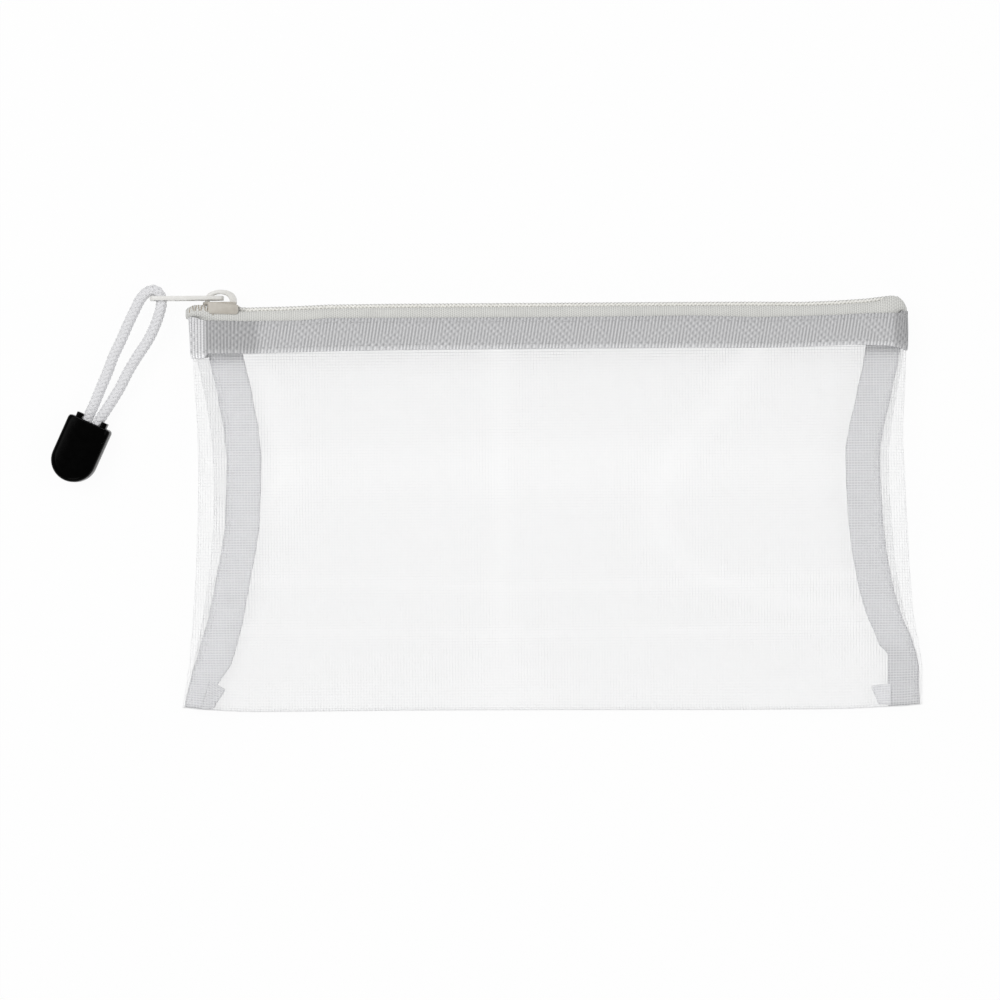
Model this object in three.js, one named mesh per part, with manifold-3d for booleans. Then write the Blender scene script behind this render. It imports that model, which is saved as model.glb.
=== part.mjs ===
// A see-through mesh pencil pouch with a coil zipper along its top edge, lying on its back panel.
// Millimetres. X runs along the zipper, Y from the fold to the zipper, Z up from the table.
// The origin is the middle of the back panel, on the table.
import * as THREE from "three";
import { mergeVertices } from "three/addons/utils/BufferGeometryUtils.js";
import Module from "manifold-3d";

const wasm = await Module();
wasm.setup();

// Pouch
const pouchHeight = 130; // from the fold to the top of the zipper chain
const foldHalfWidth = 117; // middle to side seam, at the fold
const topHalfWidth = 111.5; // middle to side seam, at the zipper
const waistInset = 10; // how far the side seams bow in between their ends
const meshThickness = 0.4;
const clearance = 0.3; // between pieces that lie on each other
const foldHalfThickness = 2.2; // half the pouch's thickness at the fold
const foldGap = 0.4; // between the two panels, where the sheet is folded
const sideRise = 5; // how far the front stands up beside the seams, half way up
const crownRise = 5.5; // and how much more in the middle
const lobeInset = 5; // where the panels' side curves end, inward of the seam
const frontLobe = 6.8; // how far the front panel reaches past the seams, half way up
const backLobe = 2.6;
const topLobeLeft = 4.6; // and at the zipper, both panels
const topLobeRight = 1.6;

// Ribbon that binds the seams, and the band round the top
const bindingWidth = 11;
const bindingThickness = 1.2; // ribbon, two layers of mesh and ribbon again
const bindingFoldGap = 1.6; // from the fold's outside to the end of the ribbon
const bindingTopGap = 0.6; // from the end of the ribbon to the zipper's tape
const bandWidth = 10.7;
const bandThickness = 0.5;
const meshLap = 7.5; // how far the mesh goes up under the band
const tapeToMesh = 1.2; // between the mesh and the tape, under the band

// Zipper
const chainWidth = 4.2;
const coilThickness = 1.3;
const coilPitch = 1.216;
const coilHead = 0.65; // how far each coil turn reaches inward of its rail
const tapeThickness = 0.45;
const tapeStrip = 3.3; // tape that shows between the coil and the band
const tapeBend = 1.4; // outer radius, where the tape turns over the top edge
const endLengthLeft = 18; // of each sewn-up end, from its join with the coil rows
const endLengthRight = 20.5;
const endSlotStop = 2.4; // solid tape between the rows' gap and the end's tip
const rowJoin = 0.5; // between a coil row and the sewn-up end
const endSetBack = 2; // from the tip of a sewn-up end to the band's side

// Slider
const sliderLength = 10.4;
const sliderWidth = 6.8;
const sliderPlate = 0.9;
const sliderCorner = 1.6;
const flangeWidth = 0.9;
const postThickness = 0.5;
const postLength = 2.4;
const sliderFromEnd = 3; // at rest, from the tip of the sewn-up end
const archHeight = 4;
const archBar = 1.1;
const archLeg = 1.4;
const archWidth = 1.8;

// Pull tab
const tabLength = 23.4;
const tabWidth = 5.4;
const tabThickness = 1.3;
const tabBar = 1.5; // the bar at the tab's inner end, inside the arch
const tabWindow = 6; // length of the window that the arch goes through
const tabRail = 1.2;
const tabCorner = 1.2;
const tabEyeFromEnd = 3.4; // from the outer end to the middle of the cord's hole
const tabEyeHalfLength = 2.4;
const tabHeight = 1.35; // from the slider's top plate to the tab's middle

// Cord and its end piece
const cordDiameter = 3;
const cordSides = 8;
const cordSteps = 54;
const endWidth = 14.3;
const endLength = 20.2;
const endThickness = 8.6;
const endEdge = 1.9; // radius of the end piece's edges
const pocketWidth = 10.3;
const pocketThickness = 5.6;
const pocketDepth = 14.2;
const plugLength = 8;
const strandSpacing = 3.7;
const earRise = 1.6;
const earWidth = 1.9;
const endMouth = new THREE.Vector2(-147.1, 28.25); // middle of the mouth's edge
const endLean = -24.5; // degrees, the end piece's turn on the table
// The loop's route, from the plug, round the tab's outer end, through its eye and back.
const cordRoute = [
  [-152.2, 21.5, 4.3],
  [-150.2, 25.8, 4.3],
  [-148.4, 29.9, 4.3],
  [-146.7, 33.6, 4.4],
  [-142.4, 44.1, 4.9],
  [-138.8, 51.6, 5.3],
  [-135.5, 58.3, 5.7],
  [-132.9, 64.3, 5.9],
  [-131.4, 67.9, 5.9],
  [-128.5, 70.6, 5.9],
  [-125.8, 69.7, 5.9],
  [-124.95, 67.5, 5.9],
  [-124.95, 64.6, 5.9],
  [-125.6, 60.6, 5.8],
  [-128.2, 54.7, 5.5],
  [-132.3, 48.5, 5.1],
  [-137, 41.6, 4.8],
  [-141, 34.8, 4.4],
  [-145, 28.4, 4.3],
  [-146.85, 24.3, 4.3],
  [-148.85, 20.0, 4.3],
];

// Places that follow from the sizes
const foldY = -pouchHeight / 2;
const chainTopY = foldY + pouchHeight;
const tapeFaceY = chainTopY - coilThickness;
const tapeBackY = tapeFaceY - tapeThickness;
const bandTopY = tapeFaceY - tapeStrip;
const bandBottomY = bandTopY - bandWidth;
const meshTopY = bandBottomY + meshLap;
const tapeEndY = meshTopY + tapeToMesh;
const tapeHalf = sliderWidth / 2 + clearance + tapeBend; // outer face of the tape's skirt
const chainZ = tapeHalf + clearance + bandThickness; // the band's back rests on the table
const rowHalfGap = postThickness / 2 + clearance;
const sheetOffset = meshThickness / 2 + clearance + bandThickness / 2;
const seamLift = bindingThickness / 2 + clearance + meshThickness / 2;

const clamp = THREE.MathUtils.clamp;
const lerp = THREE.MathUtils.lerp;
const ease = (s) => THREE.MathUtils.smoothstep(s, 0, 1);
const bump = (s) => 0.5 - 0.5 * Math.cos(2 * Math.PI * clamp(s, 0, 1));

const upTheSide = (y) => clamp((y - foldY) / (bandTopY - foldY), 0, 1);

function seamX(y) {
  const t = upTheSide(y);
  const bow = Math.pow(Math.sin(Math.PI * Math.pow(t, 1.25)), 1.35);
  return lerp(foldHalfWidth, topHalfWidth, t) - waistInset * (t < 1 ? bow : 0);
}

function seamZ(y) {
  return lerp(foldHalfThickness, chainZ, Math.pow(Math.sin((Math.PI / 2) * upTheSide(y)), 0.8));
}

function lobeReach(y, middle, top) {
  const t = upTheSide(y);
  return middle * Math.pow(Math.max(Math.sin(Math.PI * t), 0), 0.9) + top * t * t;
}

// One line of a panel across the pouch. side is 1 for the front panel and -1 for the back.
function panelLine(side, y, edgeZ, crown) {
  const middle = side > 0 ? frontLobe : backLobe;
  const seam = seamZ(y);
  return {
    y,
    side,
    seamX: seamX(y),
    seamEdgeZ: seam + side * Math.min(seamLift, Math.abs(edgeZ - seam)),
    edgeZ,
    crown,
    reach: [lobeReach(y, middle, topLobeLeft), lobeReach(y, middle, topLobeRight)],
  };
}

function panelLineAt(side, y) {
  const start = foldY + foldHalfThickness;
  const s = (y - start) / (bandBottomY - start);
  const low = 2 * foldHalfThickness - meshThickness / 2;
  const high = chainZ + tapeHalf - meshThickness / 2;
  if (side > 0) {
    return panelLine(side, y, lerp(low, high, ease(s)) + sideRise * bump(s), crownRise * bump(s));
  }
  const underBand = ease((y - (bandBottomY - bandWidth)) / bandWidth);
  return panelLine(side, y, meshThickness / 2 + (bandThickness + clearance) * underBand, 0);
}

// The panel's lines where the sheet turns round the fold.
function foldLine(side, turn) {
  const radius = foldHalfThickness - meshThickness / 2;
  const rise = lerp(foldGap / 2, radius, Math.sin(turn));
  const y = foldY + meshThickness / 2 + radius * (1 - Math.cos(turn));
  return panelLine(side, y, foldHalfThickness + side * rise, 0);
}

// Points across one line: a side lobe, the crowned middle and the other lobe. grow moves it out.
function acrossLine(line, grow, lobeFrom, lobeSteps, middleSteps) {
  const low = line.seamEdgeZ - line.side * grow;
  const high = line.edgeZ + line.side * grow;
  const points = [];
  const lobe = (hand, angle) => {
    const reach = line.reach[hand < 0 ? 0 : 1];
    const wide = Math.sqrt(reach * (reach + lobeInset)) + grow;
    const up = (1 + Math.sin(angle)) / 2;
    const x = line.seamX + wide * Math.cos(angle) - lobeInset * up;
    return new THREE.Vector3(hand * x, line.y, lerp(low, high, up));
  };
  const angleAt = (k) => lerp(lobeFrom, Math.PI / 2, k / lobeSteps);
  for (let k = 0; k <= lobeSteps; k += 1) points.push(lobe(-1, angleAt(k)));
  const edge = line.seamX - lobeInset;
  for (let k = 1; k < middleSteps; k += 1) {
    const f = (2 * k) / middleSteps - 1;
    const crown = line.crown * Math.pow(1 - f * f, 2);
    points.push(new THREE.Vector3(f * edge, line.y, high + line.side * crown));
  }
  for (let k = lobeSteps; k >= 0; k -= 1) points.push(lobe(1, angleAt(k)));
  return points;
}

// A closed sheet of even thickness about a grid of points, its outside on the side of outward.
function sheet(rows, thickness, outward) {
  const across = rows[0].length;
  const normal = (r, c) => {
    const u = new THREE.Vector3().subVectors(
      rows[r][Math.min(c + 1, across - 1)],
      rows[r][Math.max(c - 1, 0)],
    );
    const v = new THREE.Vector3().subVectors(
      rows[Math.min(r + 1, rows.length - 1)][c],
      rows[Math.max(r - 1, 0)][c],
    );
    return u.cross(v).normalize();
  };
  const positions = [];
  for (const half of [thickness / 2, -thickness / 2]) {
    rows.forEach((row, r) => {
      row.forEach((p, c) => positions.push(...p.clone().addScaledVector(normal(r, c), half)));
    });
  }
  const at = (layer, r, c) => (layer * rows.length + r) * across + c;
  const triangles = [];
  const quad = (a, b, c, d) => triangles.push(a, b, c, a, c, d);
  for (let r = 0; r + 1 < rows.length; r += 1) {
    for (let c = 0; c + 1 < across; c += 1) {
      quad(at(0, r, c), at(0, r, c + 1), at(0, r + 1, c + 1), at(0, r + 1, c));
      quad(at(1, r, c), at(1, r + 1, c), at(1, r + 1, c + 1), at(1, r, c + 1));
    }
    quad(at(0, r, 0), at(0, r + 1, 0), at(1, r + 1, 0), at(1, r, 0));
    const e = across - 1;
    quad(at(0, r, e), at(1, r, e), at(1, r + 1, e), at(0, r + 1, e));
  }
  for (let c = 0; c + 1 < across; c += 1) {
    quad(at(0, 0, c), at(1, 0, c), at(1, 0, c + 1), at(0, 0, c + 1));
    const e = rows.length - 1;
    quad(at(0, e, c), at(0, e, c + 1), at(1, e, c + 1), at(1, e, c));
  }
  if (outward < 0) triangles.reverse();
  const geometry = new THREE.BufferGeometry();
  geometry.setAttribute("position", new THREE.Float32BufferAttribute(positions, 3));
  geometry.setIndex(triangles);
  return geometry;
}

function meshPanel(side) {
  const lines = [0, Math.PI / 6, Math.PI / 3, Math.PI / 2].map((turn) => foldLine(side, turn));
  const from = foldY + foldHalfThickness;
  const steps = 11;
  for (let k = 1; k <= steps; k += 1) lines.push(panelLineAt(side, lerp(from, bandBottomY, k / steps)));
  lines.push(panelLineAt(side, meshTopY));
  const rows = lines.map((line) => acrossLine(line, 0, -Math.PI / 2, 7, 10));
  return sheet(rows, meshThickness, 1);
}

function band(side) {
  const heights = [bandBottomY, (bandBottomY + bandTopY) / 2, bandTopY];
  const rows = heights.map((y) => {
    const line = { ...panelLineAt(side, y), crown: 0 };
    return acrossLine(line, sheetOffset, -Math.PI / 5, 7, 2);
  });
  return sheet(rows, bandThickness, 1);
}

function binding(hand) {
  const from = foldY + bindingFoldGap;
  const to = tapeEndY - bindingTopGap;
  const steps = 16;
  const rows = [];
  for (let k = 0; k <= steps; k += 1) {
    const y = lerp(from, to, k / steps);
    const outer = hand * seamX(y);
    const inner = hand * (seamX(y) - bindingWidth);
    const ends = hand < 0 ? [outer, inner] : [inner, outer];
    rows.push(ends.map((x) => new THREE.Vector3(x, y, seamZ(y))));
  }
  return sheet(rows, bindingThickness, 1);
}

// Extrusions: a section in Y and Z drawn along X, and outlines in X and Z, or X and Y, given depth.
function drawnAlongX(shape, fromX, toX, segments) {
  const geometry = new THREE.ExtrudeGeometry(shape, {
    depth: toX - fromX,
    bevelEnabled: false,
    curveSegments: segments,
  });
  const [x, y, z] = [new THREE.Vector3(0, 1, 0), new THREE.Vector3(0, 0, 1), new THREE.Vector3(1, 0, 0)];
  return geometry.applyMatrix4(new THREE.Matrix4().makeBasis(x, y, z)).translate(fromX, 0, chainZ);
}

function plateInXZ(shape, topY, bottomY, options = {}) {
  const geometry = new THREE.ExtrudeGeometry(shape, {
    depth: topY - bottomY,
    bevelEnabled: false,
    curveSegments: 6,
    ...options,
  });
  const [x, y, z] = [new THREE.Vector3(1, 0, 0), new THREE.Vector3(0, 0, 1), new THREE.Vector3(0, -1, 0)];
  return geometry.applyMatrix4(new THREE.Matrix4().makeBasis(x, y, z)).translate(0, topY, chainZ);
}

// A block between two corners, its Z counted from the middle of the chain.
function block(x, y, z) {
  const geometry = new THREE.BoxGeometry(x[1] - x[0], y[1] - y[0], z[1] - z[0]);
  return geometry.translate((x[0] + x[1]) / 2, (y[0] + y[1]) / 2, chainZ + (z[0] + z[1]) / 2);
}

function solid(geometry) {
  const bare = geometry.clone();
  bare.deleteAttribute("normal");
  bare.deleteAttribute("uv");
  const merged = mergeVertices(bare, 1e-5);
  return new wasm.Manifold(
    new wasm.Mesh({
      numProp: 3,
      vertProperties: new Float32Array(merged.attributes.position.array),
      triVerts: new Uint32Array(merged.index.array),
    }),
  );
}

function geometryOf(manifold) {
  const mesh = manifold.getMesh();
  const geometry = new THREE.BufferGeometry();
  geometry.setAttribute("position", new THREE.Float32BufferAttribute(mesh.vertProperties, 3));
  geometry.setIndex(Array.from(mesh.triVerts));
  return geometry;
}

function roundedRectangle(x0, x1, y0, y1, radius) {
  const shape = new THREE.Shape();
  shape.moveTo(x0 + radius, y0);
  shape.absarc(x1 - radius, y0 + radius, radius, -Math.PI / 2, 0);
  shape.absarc(x1 - radius, y1 - radius, radius, 0, Math.PI / 2);
  shape.absarc(x0 + radius, y1 - radius, radius, Math.PI / 2, Math.PI);
  shape.absarc(x0 + radius, y0 + radius, radius, Math.PI, 1.5 * Math.PI);
  return shape;
}

// Zipper: where the coil rows run, and where the sewn-up ends stop.
const leftTipX = -(topHalfWidth + topLobeLeft - endSetBack);
const rightTipX = topHalfWidth + topLobeRight - endSetBack / 2;
const rowsFromX = leftTipX + endLengthLeft;
const rowsToX = rightTipX - endLengthRight;

function tape(side) {
  const bendY = tapeFaceY - tapeBend;
  const bendZ = tapeHalf - tapeBend;
  const shape = new THREE.Shape();
  shape.moveTo(tapeBackY, side * rowHalfGap);
  shape.lineTo(tapeFaceY, side * rowHalfGap);
  shape.absarc(bendY, side * bendZ, tapeBend, 0, (side * Math.PI) / 2, side < 0);
  shape.lineTo(tapeEndY, side * tapeHalf);
  shape.lineTo(tapeEndY, side * (tapeHalf - tapeThickness));
  const inner = tapeBend - tapeThickness;
  shape.absarc(bendY, side * bendZ, inner, (side * Math.PI) / 2, 0, side > 0);
  return drawnAlongX(shape, rowsFromX, rowsToX, 4);
}

// A row of coil turns as a comb: its rail on the tape, its heads toward the other row.
function coilRow(side, fromX, toX) {
  const outer = chainWidth / 2;
  const root = rowHalfGap + coilHead;
  const count = Math.floor((toX - fromX) / coilPitch);
  const shape = new THREE.Shape();
  shape.moveTo(toX, side * outer);
  shape.lineTo(fromX, side * outer);
  shape.lineTo(fromX, side * root);
  for (let k = 0; k < count; k += 1) {
    const start = fromX + (k + 0.25) * coilPitch;
    shape.lineTo(start, side * root);
    shape.lineTo(start, side * rowHalfGap);
    shape.lineTo(start + coilPitch / 2, side * rowHalfGap);
    shape.lineTo(start + coilPitch / 2, side * root);
  }
  shape.lineTo(toX, side * root);
  return plateInXZ(shape, chainTopY, tapeFaceY);
}

// A sewn-up end of the zipper: both tapes closed round the tip, with the stubs of both rows.
function zipperEnd(hand) {
  const tip = hand < 0 ? leftTipX : rightTipX;
  const join = hand < 0 ? rowsFromX - rowJoin : rowsToX + rowJoin;
  const centre = hand * (topHalfWidth - lobeInset);
  const past = join - hand * 2 * tapeBend;
  const hood = (inset) => {
    const half = tapeHalf - inset;
    const shape = new THREE.Shape();
    shape.moveTo(past, -half);
    shape.lineTo(centre, -half);
    const turn = hand * (tip - centre) - inset;
    shape.absellipse(centre, 0, turn, half, -Math.PI / 2, Math.PI / 2, hand < 0);
    shape.lineTo(past, half);
    const bend = tapeBend - inset;
    return plateInXZ(shape, tapeFaceY - inset - bend, tapeEndY - 2 * tapeBend, {
      bevelEnabled: true,
      bevelThickness: bend,
      bevelSize: bend,
      bevelOffset: -bend,
      bevelSegments: 3,
      curveSegments: 10,
    });
  };
  const ordered = (a, b) => [Math.min(a, b), Math.max(a, b)];
  const far = 4 * tapeHalf;
  const below = block([-foldHalfWidth - far, foldHalfWidth + far], [foldY, tapeEndY], [-far, far]);
  const beyond = block(ordered(join, join - hand * far), [foldY, chainTopY + far], [-far, far]);
  const slotEnd = tip - hand * endSlotStop;
  const slot = block(
    ordered(join - hand, slotEnd),
    [tapeEndY, chainTopY + 1],
    [-rowHalfGap, rowHalfGap],
  );
  let end = solid(hood(0)).subtract(solid(hood(tapeThickness)));
  end = end.subtract(solid(below)).subtract(solid(beyond));
  for (const side of [1, -1]) {
    const z = ordered(side * rowHalfGap, (side * chainWidth) / 2);
    end = end.add(solid(block(ordered(join, slotEnd), [tapeFaceY - tapeThickness / 2, chainTopY], z)));
  }
  return geometryOf(end.subtract(solid(slot)));
}

// Slider: two plates round the chain, joined by a post between the rows, with an arch on top.
const sliderLeftX = leftTipX + sliderFromEnd;
const sliderRightX = sliderLeftX + sliderLength;
const sliderUnderY = chainTopY + clearance;
const sliderTopY = sliderUnderY + sliderPlate;
const lowerPlateTopY = tapeBackY - clearance;

function slider() {
  const half = sliderWidth / 2;
  const outline = roundedRectangle(sliderLeftX, sliderRightX, -half, half, sliderCorner);
  let body = solid(plateInXZ(outline, sliderTopY, sliderUnderY));
  body = body.add(solid(plateInXZ(outline, lowerPlateTopY, lowerPlateTopY - sliderPlate)));
  const flangeX = [sliderLeftX + sliderCorner, sliderRightX - sliderCorner];
  for (const side of [1, -1]) {
    const z = [side * half, side * (half - flangeWidth)].sort((a, b) => a - b);
    body = body.add(solid(block(flangeX, [tapeFaceY + clearance, sliderTopY - sliderPlate / 2], z)));
  }
  const postX = [sliderLeftX + 0.3, sliderLeftX + 0.3 + postLength];
  const postY = [lowerPlateTopY - sliderPlate / 2, sliderTopY - sliderPlate / 2];
  body = body.add(solid(block(postX, postY, [-postThickness / 2, postThickness / 2])));
  return geometryOf(body.add(solid(arch())));
}

function arch() {
  const middle = (sliderLeftX + sliderRightX) / 2;
  const outer = sliderLength / 2 - 0.1;
  const foot = sliderTopY - sliderPlate / 2;
  const rise = archHeight + sliderTopY - foot;
  const shape = new THREE.Shape();
  shape.moveTo(middle + outer, foot);
  shape.absellipse(middle, foot, outer, rise, 0, Math.PI);
  shape.lineTo(middle - outer + archLeg, foot);
  shape.absellipse(middle, foot, outer - archLeg, rise - archBar, Math.PI, 0, true);
  const geometry = new THREE.ExtrudeGeometry(shape, {
    depth: archWidth,
    bevelEnabled: false,
    curveSegments: 12,
  });
  return geometry.translate(0, 0, chainZ - archWidth / 2);
}

// Pull tab: a plate whose window hangs on the arch, with a long eye for the cord.
const tabY = sliderTopY + tabHeight;
const tabInnerX = (sliderLeftX + sliderRightX) / 2 + 1.2;
const tabOuterX = tabInnerX - tabLength;
const tabEyeX = tabOuterX + tabEyeFromEnd;

function pullTab() {
  const half = tabWidth / 2;
  const shape = roundedRectangle(tabOuterX, tabInnerX, -half, half, tabCorner);
  const windowEnd = tabInnerX - tabBar;
  const side = half - tabRail;
  shape.holes.push(roundedRectangle(windowEnd - tabWindow, windowEnd, -side, side, 0.3));
  const eye = cordDiameter / 2 + clearance;
  shape.holes.push(
    roundedRectangle(tabEyeX - tabEyeHalfLength, tabEyeX + tabEyeHalfLength, -eye, eye, eye - 0.01),
  );
  return plateInXZ(shape, tabY + tabThickness / 2, tabY - tabThickness / 2);
}

function cordLoop() {
  const curve = new THREE.CatmullRomCurve3(cordRoute.map((p) => new THREE.Vector3(...p)));
  const section = new THREE.Shape();
  for (let k = 0; k < cordSides; k += 1) {
    const angle = (2 * Math.PI * (k + 0.5)) / cordSides;
    const at = [(cordDiameter / 2) * Math.cos(angle), (cordDiameter / 2) * Math.sin(angle)];
    if (k === 0) section.moveTo(...at);
    else section.lineTo(...at);
  }
  return new THREE.ExtrudeGeometry(section, { extrudePath: curve, steps: cordSteps });
}

// The cord's end piece, drawn upright with its mouth at Y = 0 and its middle at Z = 0.
function upright(shape, thickness, options = {}) {
  const geometry = new THREE.ExtrudeGeometry(shape, {
    depth: thickness,
    bevelEnabled: false,
    curveSegments: 10,
    ...options,
  });
  return geometry.translate(0, 0, -thickness / 2);
}

function cube(width, from, to, thickness, x = 0) {
  return new THREE.BoxGeometry(width, to - from, thickness).translate(x, (from + to) / 2, 0);
}

function endShell() {
  const half = endWidth / 2;
  const shape = new THREE.Shape();
  shape.moveTo(half, endEdge);
  shape.lineTo(-half, endEdge);
  shape.absellipse(0, half - endLength, half, half, Math.PI, 2 * Math.PI);
  const outer = upright(shape, endThickness - 2 * endEdge, {
    bevelEnabled: true,
    bevelThickness: endEdge,
    bevelSize: endEdge,
    bevelOffset: -endEdge,
    bevelSegments: 3,
  });
  const over = cube(2 * endWidth, 0, endWidth, 2 * endWidth);
  const pocket = cube(pocketWidth, -pocketDepth, endWidth, pocketThickness);
  return geometryOf(solid(outer).subtract(solid(over)).subtract(solid(pocket)));
}

function endPlug() {
  const width = pocketWidth - 2 * clearance;
  const thickness = pocketThickness - 2 * clearance;
  const slotWidth = strandSpacing + cordDiameter + 2 * clearance;
  let plug = solid(cube(width, -plugLength, 0, thickness));
  for (const side of [1, -1]) {
    const x = side * (width / 2 - earWidth / 2 + clearance);
    plug = plug.add(solid(cube(earWidth, clearance, earRise, thickness, x)));
    plug = plug.add(solid(cube(earWidth / 2, -1, earRise, thickness, x - (side * earWidth) / 4)));
  }
  const slot = cube(slotWidth, -2 * plugLength, 2 * plugLength, cordDiameter + 2 * clearance);
  return geometryOf(plug.subtract(solid(slot)));
}

function cordKnot() {
  const length = pocketDepth - plugLength - 2 * clearance;
  const knot = new THREE.SphereGeometry(0.5, 14, 10);
  knot.scale(pocketWidth - 4 * clearance, length, pocketThickness - 2 * clearance);
  return knot.translate(0, -plugLength - clearance - length / 2, 0);
}

// Materials
const look = (color, roughness) => new THREE.MeshStandardMaterial({ color, roughness, metalness: 0 });
const meshWhite = look(0xf2f3f4, 0.5);
const ribbonWhite = look(0xd6d8da, 0.85);
const tapeWhite = look(0xe6e6e3, 0.8);
const coilWhite = look(0xe9e9e4, 0.4);
const creamPlastic = look(0xd9d4c6, 0.35);
const tabWhite = look(0xe8e7e2, 0.35);
const cordWhite = look(0xeeeef0, 0.8);
const blackPlastic = look(0x060606, 0.22);

const pouch = new THREE.Group();

function piece(name, geometry, material, parent = pouch) {
  const mesh = new THREE.Mesh(geometry, material);
  mesh.name = name;
  parent.add(mesh);
  return mesh;
}

piece("mesh_back_panel", meshPanel(-1), meshWhite);
piece("mesh_front_panel", meshPanel(1), meshWhite);
piece("back_band", band(-1), ribbonWhite);
piece("front_band", band(1), ribbonWhite);
piece("back_zipper_tape", tape(-1), tapeWhite);
piece("front_zipper_tape", tape(1), tapeWhite);
piece("back_coil", coilRow(-1, rowsFromX, rowsToX), coilWhite);
piece("front_coil", coilRow(1, rowsFromX, rowsToX), coilWhite);
piece("zipper_end_left", zipperEnd(-1), tapeWhite);
piece("zipper_end_right", zipperEnd(1), tapeWhite);
piece("left_seam_binding", binding(-1), ribbonWhite);
piece("right_seam_binding", binding(1), ribbonWhite);
piece("slider", slider(), creamPlastic);
piece("pull_tab", pullTab(), tabWhite);
piece("cord_loop", cordLoop(), cordWhite);

const cordEnd = new THREE.Group();
cordEnd.position.set(endMouth.x, endMouth.y, endThickness / 2);
cordEnd.rotation.z = THREE.MathUtils.degToRad(endLean);
pouch.add(cordEnd);
piece("cord_end_shell", endShell(), blackPlastic, cordEnd);
piece("cord_end_plug", endPlug(), blackPlastic, cordEnd);
piece("cord_knot", cordKnot(), cordWhite, cordEnd);

export default pouch;
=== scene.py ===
"""Looks of the see-through mesh pencil pouch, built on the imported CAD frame.

Sizes here are in millimetres, in the CAD's own frame, and become metres where a mesh is made.
X runs along the zipper, Y from the fold to the zipper and Z up from the table.
"""
import math

import bmesh
import bpy
import numpy as np
from mathutils import Matrix, Vector


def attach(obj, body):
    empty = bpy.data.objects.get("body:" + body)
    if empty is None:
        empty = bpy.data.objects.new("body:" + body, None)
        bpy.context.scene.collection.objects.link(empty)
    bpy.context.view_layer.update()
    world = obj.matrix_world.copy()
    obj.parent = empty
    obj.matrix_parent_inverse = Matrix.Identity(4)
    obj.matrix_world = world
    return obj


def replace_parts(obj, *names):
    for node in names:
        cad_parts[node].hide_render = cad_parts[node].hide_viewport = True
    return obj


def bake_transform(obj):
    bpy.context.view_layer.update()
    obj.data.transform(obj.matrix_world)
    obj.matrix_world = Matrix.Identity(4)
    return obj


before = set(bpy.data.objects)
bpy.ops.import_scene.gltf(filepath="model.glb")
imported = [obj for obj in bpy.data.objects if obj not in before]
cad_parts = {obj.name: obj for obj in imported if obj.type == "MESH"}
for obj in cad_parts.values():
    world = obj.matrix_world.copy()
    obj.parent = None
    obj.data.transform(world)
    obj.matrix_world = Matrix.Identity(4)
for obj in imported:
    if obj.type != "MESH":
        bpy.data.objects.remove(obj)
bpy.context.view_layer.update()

MM = 0.001

# The sizes that the CAD source gives the pouch
FOLD_Y = -65.0
MESH_THICKNESS = 0.4
CLEARANCE = 0.3
FOLD_HALF_THICKNESS = 2.2
SIDE_RISE = 5.0
CROWN_RISE = 5.5
LOBE_INSET = 5.0
FRONT_LOBE = 6.8
BACK_LOBE = 2.6
TOP_LOBE = {-1: 4.6, 1: 1.6}
BAND_WIDTH = 10.7
BAND_THICKNESS = 0.5
RIB_PITCH = 1.05
COIL_PITCH = 1.216
TAPE_FACE_Y = 63.7
BAND_TOP_Y = 60.4
BAND_BOTTOM_Y = BAND_TOP_Y - BAND_WIDTH
MESH_TOP_Y = BAND_BOTTOM_Y + 7.5
TAPE_END_Y = MESH_TOP_Y + 1.2
TAPE_HALF = 5.1
CHAIN_Z = 5.9
SLIDER_X = (-111.1, -100.7)
SLIDER_TOP_Y = 66.2
TAB_Y = 67.55
TAB_X = (-128.1, -104.7)
TAB_EYE_X = -124.7
END_MOUTH = (-147.45, 28.3)
END_LEAN = -24.5
END_THICKNESS = 8.6
END_WIDTH = 14.3
END_LENGTH = 20.2

# The words for the two panels and the two hands in the names of pieces
PANEL = {1: "front", -1: "back"}
HAND = {-1: "left", 1: "right"}

# The cord's route, close to the CAD source's and fitted to the photograph
CORD_ROUTE = [
    (-152.2, 21.5, 4.3), (-150.2, 25.8, 4.3), (-148.4, 29.9, 4.3), (-146.4, 34.2, 4.4),
    (-144.2, 39.3, 4.7), (-142.0, 44.3, 4.9), (-140.0, 49.4, 5.2), (-137.5, 54.5, 5.5),
    (-135.2, 59.6, 5.7), (-132.7, 64.6, 5.9), (-131.2, 67.5, 5.9), (-129.2, 69.6, 5.9),
    (-127.1, 70.3, 5.9), (-125.4, 69.4, 5.9), (-124.6, 67.5, 5.9), (-124.75, 64.6, 5.9),
    (-126.4, 59.5, 5.8), (-128.9, 54.4, 5.5), (-132.3, 49.4, 5.2), (-135.5, 44.3, 4.9),
    (-138.1, 39.3, 4.7), (-141.4, 34.1, 4.4), (-145.1, 28.4, 4.3), (-146.85, 24.3, 4.3),
    (-148.85, 20.0, 4.3),
]

# Camera: straight down, turned a little, at the photograph's scale
VIEW_MIDDLE = (-17.06, 2.5)
VIEW_WIDTH = 318.9
VIEW_TURN = -0.45
LENS = 100.0
SENSOR = 36.0

camera_data = bpy.data.cameras.new("camera")
camera_data.lens = LENS
camera_data.sensor_width = SENSOR
camera_data.clip_start = 0.01
camera_data.clip_end = 20.0
camera = bpy.data.objects.new("camera", camera_data)
bpy.context.scene.collection.objects.link(camera)
camera.location = (
    VIEW_MIDDLE[0] * MM,
    VIEW_MIDDLE[1] * MM,
    (VIEW_WIDTH * LENS / SENSOR + CHAIN_Z) * MM,
)
camera.rotation_euler = (0.0, 0.0, math.radians(VIEW_TURN))
bpy.context.scene.camera = camera


# Material nodes. FUZZ is the size in mm and the detail of the noise that stands for fine fibres
FUZZ = (0.28, 3.0)
LOZENGE_WIDTH = 1.1
LOZENGE_SHARE = 0.6


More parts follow.
